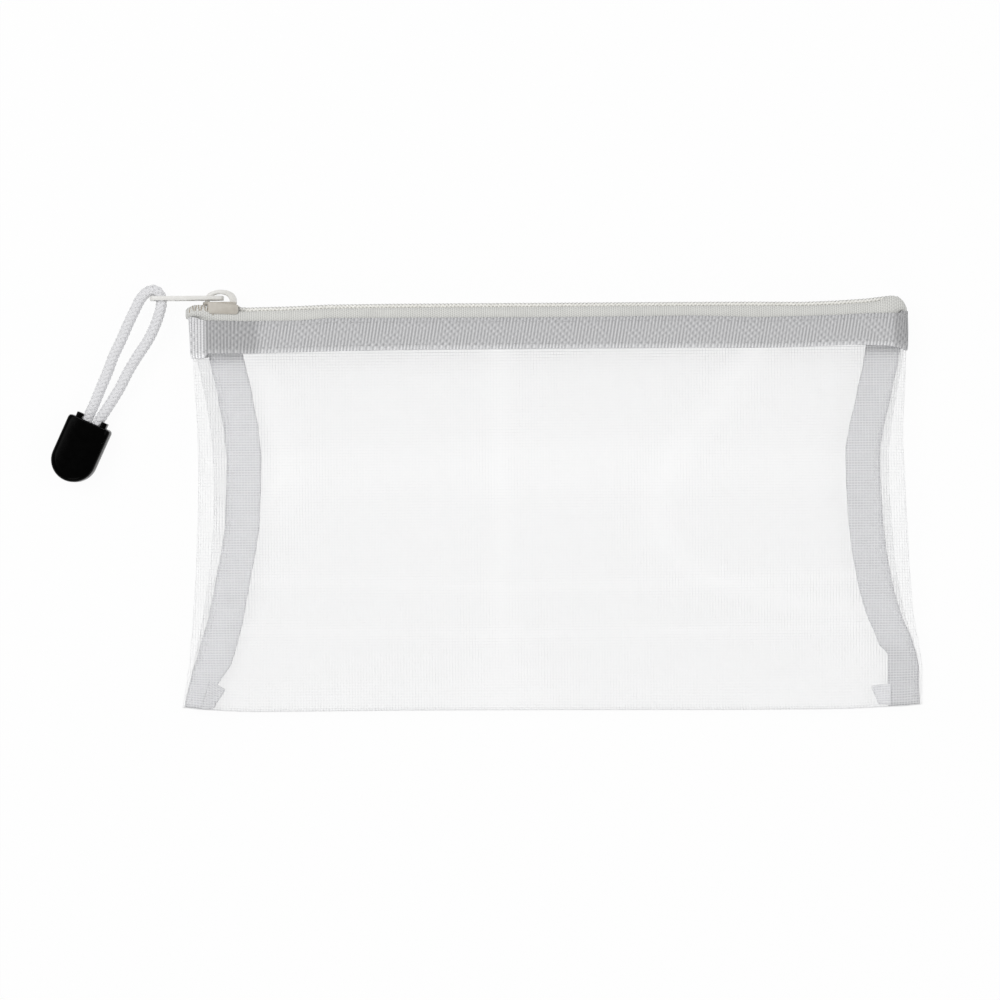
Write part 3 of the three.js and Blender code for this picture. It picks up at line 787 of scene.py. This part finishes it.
def top_rise(x):
    """How far the top edge stands off a straight line, along the zipper."""
    at = [-118, -112, -97, -84, -71, -50, 30, 62, 80, 90, 100, 108, 110, 111.6, 112.6]
    by = [0.0, 0.2, -0.75, -0.5, 0.0, 0.1, 0.0, -0.1, -0.3, 0.0, 0.6, 1.5, 1.2, 0.3, -0.9]
    return np.interp(x, at, by)


def end_share(hand, x):
    """The half width of the zipper's top at x, as a share of its width in the middle."""
    start = ROUND_FROM[hand]
    past = np.clip((hand * x - start) / (hand * TIP[hand] - start), 0, 1)
    return np.sqrt(np.maximum(1 - past ** 3.5, 0))


def under_band(hand, x):
    """The half width in Z that the tape has where the band covers it, as a share of its middle's."""
    past = np.clip((hand * x - COVER_FROM) / (COVERED_TIP[hand] - COVER_FROM), 0, 1)
    return np.sqrt(np.maximum(1 - past ** 2.4, 0)) * (1 - 0.05 * smoothstep(past, 0, 0.3))


def end_cover(hand, x):
    """How far the tapes rise at an end, where they close over the coil."""
    start = RISE_FROM[hand]
    return END_RISE * smoothstep(hand * x, start, start + 3)


def tape_section():
    """The tape's section: Y, and how far out in Z, from the coil round the bend and down."""
    face, flank = TAPE_FACE_Y - TAPE_THICKNESS / 2, TAPE_HALF - TAPE_THICKNESS / 2
    section = [(face, TAPE_INNER)]
    for turn in np.linspace(0, np.pi / 2, 6):
        back, down = TAPE_BEND * (1 - math.sin(turn)), TAPE_BEND * (1 - math.cos(turn))
        section.append((face - down, flank - back))
    for y in (TAPE_FACE_Y - 1.7, 61.4, 60.9, 60.5, 59.5, TAPE_END_Y):
        section.append((y, flank))
    return np.array(section)


def tape_half(side, hand):
    """Half of one tape, closed round the zipper's end and narrower where the band covers it."""
    start, outer = ROUND_FROM[hand], abs(TIP[hand])
    rounding = start + (outer - start) * np.sin(np.linspace(0, np.pi / 2, 18))
    x = hand * np.unique(np.concatenate([np.arange(0, start, 1.0), rounding]))
    share = end_share(hand, x)
    covered = hand * np.minimum(hand * x, COVERED_TIP[hand] + 0.5)
    lift = top_rise(x) + end_cover(hand, x) - (1 - share) * END_DROP
    section = tape_section()
    sheet = np.zeros((len(x), len(section), 3))
    for k, (y, out) in enumerate(section):
        shown = smoothstep(y, BAND_TOP_Y, 61.4)
        height = np.maximum(out * (share * shown + under_band(hand, x) * (1 - shown)), 0.05)
        if k == 0:
            height = np.full_like(x, TAPE_INNER)
        sheet[:, k, 0] = x * shown + covered * (1 - shown)
        sheet[:, k, 1] = y + lift * smoothstep(y, TAPE_END_Y, TAPE_FACE_Y)
        sheet[:, k, 2] = CHAIN_Z + side * height
    tape = strip(sheet, TAPE_THICKNESS, woven_grid(x[:, None], lengths(*section.T)))
    return smooth_by_angle(tape.made("tape", TAPE, side, hand), 80)


def end_tacks(side):
    """The stitches that close the tapes over the coil's left end."""
    gathered = Gathered()
    turn = np.linspace(0.1, 1.25, 6) * np.pi / 2
    for k, x in enumerate(np.arange(-115.0, -107.2, 0.95)):
        share = end_share(-1, x)
        lift = top_rise(x) + end_cover(-1, x) - (1 - share) * END_DROP
        y = TAPE_FACE_Y - 1.4 + 1.3 * np.cos(turn) + lift
        z = CHAIN_Z + side * (TAPE_HALF - 1.4 + 1.35 * np.sin(turn)) * share
        lean = np.linspace(-0.25, 0.25, len(turn)) * (1 if k % 2 else -1)
        facing = np.stack([np.zeros_like(y), np.cos(turn), side * np.sin(turn)], axis=1)
        gathered.tube(np.stack([x + lean, y, z], axis=1) + facing * 0.12, facing, 0.14, 0.1, 6, capped=True)
    return gathered.made("end_tacks", TACK, side)


# The coil: heights over the tape's face, distances in Z from the middle plane, and half sizes
TURN_POINTS = 14
COIL_RISE = 0.64
COIL_OUT = 0.98
COIL_HALF = (1.25, 0.44)
COIL_WIRE = (0.42, 0.2)
FILLER_RISE = 0.42
FILLER_HALF = (1.35, 0.75)
SEWING_RISE = 1.3
SEWING_OUT = (0.62, 1.45)
SEWING_HALF = (0.14, 0.11)
DASH_RISE = 0.3
DASH_OUT = 2.32


def coil_path(x, rise, out):
    """Points along the zipper, rise over the tape's face and out from the middle plane."""
    return np.stack([x, TAPE_FACE_Y + rise + top_rise(x), np.full_like(x, CHAIN_Z + out)], axis=1)


def coil_half(side, hand):
    """The turns of one row, wound round a filler cord, with the sewing over them and the dashes beside."""
    turns, sewing, dashes = Gathered(), Gathered(), Gathered()
    stop = abs(TIP[hand]) - 1.9
    shift = COIL_PITCH / 2 if side > 0 else 0
    angle = np.arange(int(stop / COIL_PITCH) * TURN_POINTS + 1) / TURN_POINTS * 2 * np.pi
    core = coil_path(hand * (angle / (2 * np.pi) * COIL_PITCH) + shift, COIL_RISE, side * COIL_OUT)
    out = np.zeros_like(core)
    out[:, 1] = COIL_HALF[1] * np.sin(angle) + 0.12 * np.cos(angle)
    out[:, 2] = side * COIL_HALF[0] * np.cos(angle)
    turns.tube(core + out, out, *COIL_WIRE, 7, capped=True)
    line = hand * np.arange(0, stop, COIL_PITCH / 4)
    filler = coil_path(line, FILLER_RISE, side * COIL_OUT)
    turns.tube(filler, directions(filler, 1), *FILLER_HALF, 8, capped=True)
    for off in SEWING_OUT:
        sewn = coil_path(line, SEWING_RISE, side * off)
        sewn[:, 1] += 0.1 * np.cos(2 * np.pi * (line - shift) / COIL_PITCH)
        sewing.tube(sewn, directions(sewn, 1), *SEWING_HALF, 5, capped=True)
    dashed = coil_path(line, DASH_RISE, side * DASH_OUT)
    stitches(dashes, dashed, directions(dashed, 2, side), COIL_PITCH, 0.09, 0.5)
    return (
        turns.made("coil", COIL, side, hand),
        sewing.made("coil_sewing", STITCH, side, hand),
        dashes.made("coil_dashes", DASH, side, hand),
    )


# Hard pieces
def applied(obj):
    """Turns a piece's modifiers into its mesh."""
    bpy.context.view_layer.update()
    mesh = bpy.data.meshes.new_from_object(obj.evaluated_get(bpy.context.evaluated_depsgraph_get()))
    obj.modifiers.clear()
    obj.data = mesh
    return obj


def bevelled(obj, width, segments=3, angle=40):
    """Rounds a piece's edges where its faces meet at more than angle."""
    modifier = obj.modifiers.new("bevel", "BEVEL")
    modifier.width = width * MM
    modifier.segments = segments
    modifier.limit_method = "ANGLE"
    modifier.angle_limit = math.radians(angle)
    return applied(obj)


def cut(obj, *others):
    """Cuts the other pieces out of obj, and removes them."""
    for other in others:
        modifier = obj.modifiers.new("cut", "BOOLEAN")
        modifier.object = other
        modifier.operation = "DIFFERENCE"
        modifier.solver = "EXACT"
    applied(obj)
    for other in others:
        bpy.data.objects.remove(other)
    return obj


def joined(name, *parts):
    """One object from several."""
    whole = bmesh.new()
    for part in parts:
        whole.from_mesh(part.data)
    made = bpy.data.meshes.new(name)
    whole.to_mesh(made)
    whole.free()
    made.materials.append(parts[0].data.materials[0])
    for part in parts:
        bpy.data.objects.remove(part)
    obj = bpy.data.objects.new(name, made)
    bpy.context.scene.collection.objects.link(obj)
    return obj


def facing_out(obj):
    """Turns all faces of a closed piece outward."""
    shape = bmesh.new()
    shape.from_mesh(obj.data)
    bmesh.ops.recalc_face_normals(shape, faces=shape.faces)
    shape.to_mesh(obj.data)
    shape.free()
    return obj


def prism(name, outline, low, high, material, plane="XZ", level=0.0):
    """An outline drawn in one plane, given depth from low to high along the third axis."""
    count = len(outline)
    points = []
    for depth in (low, high):
        for a, b in outline:
            if plane == "XZ":
                points.append((a, depth, level + b))
            else:
                points.append((a, b, level + depth))
    faces = [list(range(count)), list(range(2 * count - 1, count - 1, -1))]
    for k in range(count):
        n = (k + 1) % count
        faces.append([k, k + count, n + count, n])
    return facing_out(piece(name, points, faces, material, smooth=False))


def rounded_outline(x0, x1, half, radius, steps=5):
    """A rectangle from x0 to x1, and half to each side, with round corners."""
    corners = [
        (x1 - radius, radius - half, -90), (x1 - radius, half - radius, 0),
        (x0 + radius, half - radius, 90), (x0 + radius, radius - half, 180),
    ]
    outline = []
    for x, y, start in corners:
        for angle in np.radians(start + np.linspace(0, 90, steps + 1)):
            outline.append((x + radius * math.cos(angle), y + radius * math.sin(angle)))
    return outline


def smooth_by_angle(obj, degrees=40):
    """Smooth shading, but for edges sharper than degrees."""
    obj.data.shade_smooth()
    obj.data.set_sharp_from_angle(angle=math.radians(degrees))
    return obj


# The slider: where its plates and walls lie in Y, and its cheeks in Z, and half widths
TOP_PLATE_Y = (SLIDER_TOP_Y - 0.9, SLIDER_TOP_Y)
LOW_PLATE_Y = (62.05, 62.95)
FLANGE_Y = (64.02, SLIDER_TOP_Y - 0.3)
POST_Y = (62.5, SLIDER_TOP_Y - 0.3)
PLATE_HALF = 3.4
POST_HALF = 0.25
CHEEK_Z = (5.2, 5.5)
BRIDGE_HALF = 5.4
SLIDER_BEVEL = 0.16
ARCH_FOOT_Y = SLIDER_TOP_Y - 0.45
ARCH_HALF = 0.95
ARCH_LEAN = 0.35
ARCH_BEVEL = 0.3


def slider_part(outline, low, high, plane="XZ"):
    # the body's cream carries painted shade
    return prism("slider_part", outline, low, high, CREAM_WITH_PAINTED_SHADE, plane, CHAIN_Z)


def slider_body():
    """Two plates with flanges and a post between them, two cheeks outside the tapes, and a bridge."""
    x0, x1 = SLIDER_X
    # the plates are wide at the mouth and waisted at the tail
    rim = [
        (x1, 2.3), (x1 - 1.2, 2.75), (x1 - 3.4, PLATE_HALF - 0.1), (x0 + 2.4, PLATE_HALF),
        (x0 + 1.0, 3.1), (x0, 1.9),
    ]
    plate = mirrored(rim) + rim
    parts = [slider_part(plate, *TOP_PLATE_Y), slider_part(plate, *LOW_PLATE_Y)]
    flange = [
        (x0 + 1.4, 2.55), (x0 + 1.6, PLATE_HALF), (x1 - 2.6, PLATE_HALF), (x1 - 0.9, 2.65), (x1 - 1.0, 1.9),
    ]
    for side in (1, -1):
        parts.append(slider_part([(x, side * z) for x, z in flange], *FLANGE_Y))
    parts.append(slider_part(rounded_outline(x0 + 0.3, x0 + 2.7, POST_HALF, 0.2), *POST_Y))
    cheek = [
        (x0 + 2.0, 63.0), (x0 + 2.5, 62.3), (x1 + 0.5, 62.0), (x1 + 1.1, 62.6),
        (x1 + 1.1, 64.7), (x1 + 0.7, 65.1), (x0 + 2.0, 66.0),
    ]
    for side in (1, -1):
        low, high = sorted(side * z for z in CHEEK_Z)
        parts.append(slider_part(cheek, low, high, "XY"))
    bridge = [(x0 + 2.1, 65.3), (x1 + 1.0, 64.4), (x1 + 1.0, 65.0), (x0 + 2.1, 65.95)]
    parts.append(slider_part(bridge, -BRIDGE_HALF, BRIDGE_HALF, "XY"))
    return smooth_by_angle(bevelled(joined("slider_body", *parts), SLIDER_BEVEL, 2))


def arch_curve(middle, reach, rise, power):
    """A flattened half circle over the plate, seen from the side."""
    curve = []
    for turn in np.linspace(0, np.pi, 25):
        up = rise * max(math.sin(turn), 0) ** power
        curve.append((middle + reach * math.cos(turn), ARCH_FOOT_Y + up))
    return curve


def slider_arch():
    """The arch over the plate, which the pull tab hangs in."""
    middle = sum(SLIDER_X) / 2
    outer = arch_curve(middle + ARCH_LEAN, 5.1, 4.45, 0.65)
    inner = arch_curve(middle, 3.3, 3.15, 0.75)
    arch = prism("slider_arch", outer + inner[::-1], -ARCH_HALF, ARCH_HALF, PALE, "XY", CHAIN_Z)
    return smooth_by_angle(bevelled(arch, ARCH_BEVEL, 3, 50))


# The pull tab
TAB_HALF = 2.7
TAB_FACES_Y = (TAB_Y + 0.65, TAB_Y - 0.65)
TAB_CUT = 2.0
EYE_HALF = (2.4, 1.8)
WINDOW_HALF = 1.5
WINDOW_LENGTH = 6.0
RECESS_DEPTH = 0.22
TAB_BEVEL = 0.24


def tab_cutter(x0, x1, half, radius, middle=TAB_Y, depth=TAB_CUT, steps=5):
    """A block with round corners, to be cut out of the pull tab."""
    outline = rounded_outline(x0, x1, half, radius, steps)
    return prism("cutter", outline, middle - depth, middle + depth, PALE, level=CHAIN_Z)


def pull_tab():
    """The tab has a window round the arch, an eye for the cord, and a shallow recess in each broad face."""
    x0, x1 = TAB_X
    high, low = TAB_FACES_Y
    tab = prism("pull_tab_piece", rounded_outline(x0, x1, TAB_HALF, 1.5, 6), low, high, PALE, level=CHAIN_Z)
    window_end = x1 - 1.5
    window = tab_cutter(window_end - WINDOW_LENGTH, window_end, WINDOW_HALF, 0.5)
    eye = tab_cutter(TAB_EYE_X - EYE_HALF[0], TAB_EYE_X + EYE_HALF[0], EYE_HALF[1], 1.75, steps=8)
    tab = cut(tab, window, eye)
    for face in TAB_FACES_Y:
        tab = cut(tab, tab_cutter(TAB_EYE_X + 4.2, window_end - 7.6, WINDOW_HALF, 0.7, face, RECESS_DEPTH))
    return smooth_by_angle(bevelled(tab, TAB_BEVEL, 3, 45))


# The black end of the cord: its roundings, its parting line and the gap between shell and plug
END_CORNER = 0.9
END_CHAMFER = 0.28
END_ROUND = 1.9
END_INSIDE = 4.8
PARTING_DEPTH = 0.16
PLUG_HALF = (4.85, 2.5)
PLUG_GAP = 0.3
SLOT_HALF = (3.65, 1.8)
EAR_MIDDLE = 4.2
EAR_HALF = (0.95, 2.2)
PLUG_BEVEL = 0.16


def placed_end(obj):
    """Moves a piece drawn upright, its mouth at Y 0, to where the cord's end lies."""
    turn = Matrix.Translation((END_MOUTH[0] * MM, END_MOUTH[1] * MM, END_THICKNESS / 2 * MM))
    obj.data.transform(turn @ Matrix.Rotation(math.radians(END_LEAN), 4, "Z"))
    return obj


def end_outline(inset):
    """The end's outline from above: a U with a flat mouth, set in by inset."""
    half = END_WIDTH / 2 - inset
    bottom = END_WIDTH / 2 - END_LENGTH
    outline = [
        (half, -inset - END_CORNER), (half - END_CHAMFER, -inset - END_CHAMFER), (half - END_CORNER, -inset),
    ]
    outline += [(-x, y) for x, y in outline[::-1]]
    for angle in np.linspace(np.pi, 2 * np.pi, 41):
        outline.append((half * math.cos(angle), bottom + half * math.sin(angle)))
    return np.array(outline)


def cord_end_shell():
    """A smooth shell with a parting line half way up, and a pocket for the plug and the knot."""
    half = END_THICKNESS / 2
    profile = [(END_INSIDE, 0.0), (END_ROUND, 0.0)]
    for angle in np.radians(np.arange(15, 91, 15)):
        profile.append((END_ROUND - END_ROUND * math.sin(angle), END_ROUND - END_ROUND * math.cos(angle)))
    profile += [(0.0, half - 0.22), (PARTING_DEPTH, half - 0.1), (PARTING_DEPTH, half)]
    levels = [(inset, drop - half) for inset, drop in profile]
    levels += [(inset, half - drop) for inset, drop in profile[::-1]]
    rings = []
    for inset, z in levels:
        outline = end_outline(inset)
        # the mouth is rounded less than the sides
        outline[outline[:, 1] > -inset - 0.5, 1] += inset * 0.75
        rings.append(np.column_stack([outline, np.full(len(outline), z)]))
    gathered = Gathered()
    gathered.loft(rings, capped=True)
    shell = facing_out(gathered.made("cord_end_body", BLACK))
    reach, deep = PLUG_HALF[0] + PLUG_GAP, PLUG_HALF[1] + PLUG_GAP
    pocket = prism("pocket", rounded_outline(-reach, reach, deep, 0.8), -14.2, 4.0, BLACK)
    return placed_end(smooth_by_angle(cut(shell, pocket), 30))


def cord_end_plug():
    """The plug in the shell's mouth, with a slot for the loop's two ends and an ear at each side of it."""
    reach, deep = PLUG_HALF
    plug = prism("plug", rounded_outline(-reach, reach, deep, 0.6), -8.0, 0.0, BLACK)
    ears = []
    for x in (EAR_MIDDLE, -EAR_MIDDLE):
        outline = rounded_outline(x - EAR_HALF[0], x + EAR_HALF[0], EAR_HALF[1], 0.4)
        ears.append(prism("ear", outline, -1.0, 1.6, BLACK))
    slot_reach, slot_deep = SLOT_HALF
    slot = prism("slot", rounded_outline(-slot_reach, slot_reach, slot_deep, 1.7, 7), -9.0, 3.0, BLACK)
    plug = joined("cord_end_insert", cut(plug, slot), *ears)
    return placed_end(smooth_by_angle(bevelled(plug, PLUG_BEVEL, 2, 50)))


# The cord: a core, and strands that cross over each other round it
CORD_STEP = 0.25
CORE_HALF = 1.2
STRANDS = 4
STRAND_LAY = 6.2
STRAND_MIDDLE = 1.31
STRAND_LIFT = 0.15
STRAND_HALF = (0.66, 0.34)
KNOT_Y = -11.1
KNOT_HALF = 1.15


def cord_line():
    """The route as a smooth curve, its points about CORD_STEP apart, and their distances along it."""
    route = np.array(CORD_ROUTE)
    route = np.vstack([2 * route[0] - route[1], route, 2 * route[-1] - route[-2]])
    t = np.linspace(0, 1, 40, endpoint=False)[:, None]
    line = []
    for k in range(1, len(route) - 2):
        p0, p1, p2, p3 = route[k - 1:k + 3]
        squared = (2 * p0 - 5 * p1 + 4 * p2 - p3) * t ** 2
        cubed = (3 * p1 - p0 - 3 * p2 + p3) * t ** 3
        line.append(0.5 * (2 * p1 + (p2 - p0) * t + squared + cubed))
    line = np.vstack(line + [route[-2:-1]])
    along = lengths(*line.T)
    at = np.linspace(0, along[-1], int(along[-1] / CORD_STEP) + 1)
    return sampled(at, along, line), at


def braided_cord():
    """The cord's piece, and the points that it follows."""
    line, along = cord_line()
    tangent = unit(np.gradient(line, axis=0))
    side = np.zeros_like(line)
    side[0] = np.cross(tangent[0], (0, 0, 1))
    for k in range(1, len(line)):
        side[k] = unit(side[k - 1] - (side[k - 1] @ tangent[k]) * tangent[k])
    up = np.cross(tangent, side)
    gathered = Gathered()
    gathered.tube(line, up, CORE_HALF, CORE_HALF, 12, capped=True)
    turn = 2 * np.pi * along / STRAND_LAY
    for direction in (1, -1):
        radius = STRAND_MIDDLE + direction * STRAND_LIFT * np.cos(STRANDS * turn)
        for k in range(STRANDS):
            angle = direction * turn + 2 * np.pi * k / STRANDS
            out = np.cos(angle)[:, None] * side + np.sin(angle)[:, None] * up
            gathered.tube(line + out * radius[:, None], out, *STRAND_HALF, 8, capped=True)
    return gathered.made("braided_cord", BRAID), line


def cord_end_knot():
    """The loop's knot inside the end piece."""
    gathered = Gathered()
    t = np.linspace(0, 2 * np.pi, 90, endpoint=False)
    path = np.stack([
        (np.sin(t) + 2 * np.sin(2 * t)) * 0.95,
        (np.cos(t) - 2 * np.cos(2 * t)) * 0.55 + KNOT_Y,
        -np.sin(3 * t) * 0.9,
    ], axis=1)
    path = np.vstack([path, path[:1]])
    gathered.tube(path, directions(path, 2), KNOT_HALF, KNOT_HALF, 10)
    return placed_end(gathered.made("cord_end_knot", BRAID))


# The loose cut ends of the ribbons: four corners in X and Y, height, lift of the far edge and tone
FLAPS = {
    -1: ([(-110.5, -54.4), (-105.4, -57.5), (-109.2, -63.4), (-113.0, -63.5)], 3.5, 0.15, 0.95),
    1: ([(107.5, -57.2), (101.4, -58.0), (103.7, -63.6), (107.5, -63.8)], 3.3, 0.2, 1.08),
}
FLAP_THICKNESS = 0.3


def binding_flap(hand):
    """A loose cut end of the ribbon, as a small curled sheet between four corners."""
    corners, height, lift, tone = FLAPS[hand]
    a, b, c, d = np.array(corners)
    out = np.linspace(0, 1, 13)
    across = np.linspace(0, 1, 11)
    sheet = np.zeros((len(out), len(across), 3))
    for j, v in enumerate(across):
        left = a + (d - a) * v
        right = b + (c - b) * v
        sheet[:, j, :2] = left + (right - left) * out[:, None]
        curl = lift * out ** 2 * (0.6 + 0.4 * math.sin(3 * v))
        sheet[:, j, 2] = height + curl + 0.08 * np.sin(out * 9 + v * 5)
    yarn = np.arange(len(across))
    # the far edge is frayed
    sheet[-1, :, 0] += 0.25 * np.sin(yarn * 2.4) + 0.15 * np.sin(yarn * 5.1)
    weave = woven_grid(across * np.linalg.norm(d - a), out[:, None] * np.linalg.norm(b - a))
    return strip(sheet, FLAP_THICKNESS, weave, tone).made("ribbon_flap", RIBBON, hand=hand)


def bend_with(obj):
    """Bakes the piece's placement into its mesh."""
    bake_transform(obj)
    return obj


cord, line = braided_cord()
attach(cord, "cord")
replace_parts(cord, "cord_loop")
shell = cord_end_shell()
plug = cord_end_plug()
for end in (shell, plug):
    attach(end, "cord")
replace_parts(shell, "cord_end_shell")
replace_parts(plug, "cord_end_plug")
knot = cord_end_knot()
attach(knot, "cord")
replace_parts(knot, "cord_knot")

for side, panel in PANEL.items():
    for hand, word in HAND.items():
        cloth = bend_with(mesh_half(side, hand))
        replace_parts(cloth, f"mesh_{panel}_panel")
        band = bend_with(band_half(side, hand))
        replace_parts(band, f"{panel}_band")
        bend_with(band_stitches(side, hand))
        tape = bend_with(tape_half(side, hand))
        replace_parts(tape, f"{panel}_zipper_tape", f"zipper_end_{word}")
        coil, *threads = coil_half(side, hand)
        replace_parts(bend_with(coil), f"{panel}_coil")
        for thread in threads:
            bend_with(thread)

for hand, word in HAND.items():
    ribbon = binding_ribbon(hand)
    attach(ribbon, "side_seams")
    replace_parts(ribbon, f"{word}_seam_binding")
    sewn = ribbon_stitches(hand)
    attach(sewn, "side_seams")

for hand in HAND:
    flap = binding_flap(hand)
    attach(flap, "side_seams")

for side in PANEL:
    bend_with(end_tacks(side))

slider = slider_body()
arch = slider_arch()
for part in (slider, arch):
    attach(part, "slider")
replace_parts(slider, "slider")
tab = pull_tab()
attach(tab, "pull_tab")
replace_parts(tab, "pull_tab")


# Floor, lamps and world. The camera sees the floor nearly white, and light sees it a little grey
FLOOR_SIZE = 3000.0
FLOOR_GLOW = 0.95
FLOOR_TONE = 0.9
LAMP_TARGET = (-17.0, 0.0, 0.0)
WORLD_LIGHT = 0.42
WORLD_SEEN = 0.99


def floor_material():
    """White paper that glows only for the camera and in reflections."""
    n = Nodes("white_floor")
    n.set(Base_Color=(FLOOR_TONE, FLOOR_TONE, FLOOR_TONE, 1), Roughness=1.0, Specular_IOR_Level=0.0)
    glow = n.add("ShaderNodeEmission")
    glow.inputs["Color"].default_value = rgb(255, 255, 255)
    path = n.add("ShaderNodeLightPath")
    seen = n.math("MAXIMUM", path.outputs["Is Camera Ray"], path.outputs["Is Glossy Ray"])
    seen = n.math("MAXIMUM", seen, path.outputs["Is Transmission Ray"])
    mix = n.add("ShaderNodeMixShader")
    n.link(n.math("MULTIPLY", seen, FLOOR_GLOW), mix.inputs[0])
    n.link(n.shader.outputs[0], mix.inputs[1])
    n.link(glow.outputs[0], mix.inputs[2])
    n.link(mix.outputs[0], n.tree.nodes["Material Output"].inputs["Surface"])
    return n.material


floor_corners = [(x * FLOOR_SIZE, y * FLOOR_SIZE, 0) for x, y in ((-1, -1), (1, -1), (1, 1), (-1, 1))]
floor = piece("floor", floor_corners, [[0, 1, 2, 3]], floor_material())


def soft_box(name, place, size, strength):
    """A square lamp that faces the pouch. strength is the light that it gives there, as a share of white."""
    data = bpy.data.lights.new(name, "AREA")
    data.shape = "SQUARE"
    data.size = size * MM
    away = Vector(place) * MM - Vector(LAMP_TARGET) * MM
    data.energy = strength * math.pi * math.pi * away.length_squared
    lamp = bpy.data.objects.new(name, data)
    lamp.location = Vector(place) * MM
    lamp.rotation_euler = away.to_track_quat("Z", "Y").to_euler()
    bpy.context.scene.collection.objects.link(lamp)


soft_box("key_lamp", (-700, 500, 1100), 900, 0.42)
soft_box("fill_lamp", (900, 100, 800), 700, 0.22)
soft_box("low_lamp", (-300, -1000, 700), 600, 0.14)

world = bpy.data.worlds.new("studio")
world.use_nodes = True
bpy.context.scene.world = world
tree = world.node_tree
background = tree.nodes["Background"]
background.inputs["Color"].default_value = (1, 1, 1, 1)
path = tree.nodes.new("ShaderNodeLightPath")
strength = tree.nodes.new("ShaderNodeMapRange")
strength.inputs["To Min"].default_value = WORLD_LIGHT
strength.inputs["To Max"].default_value = WORLD_SEEN
tree.links.new(path.outputs["Is Camera Ray"], strength.inputs["Value"])
tree.links.new(strength.outputs[0], background.inputs["Strength"])

bpy.context.scene.view_settings.view_transform = "Standard"
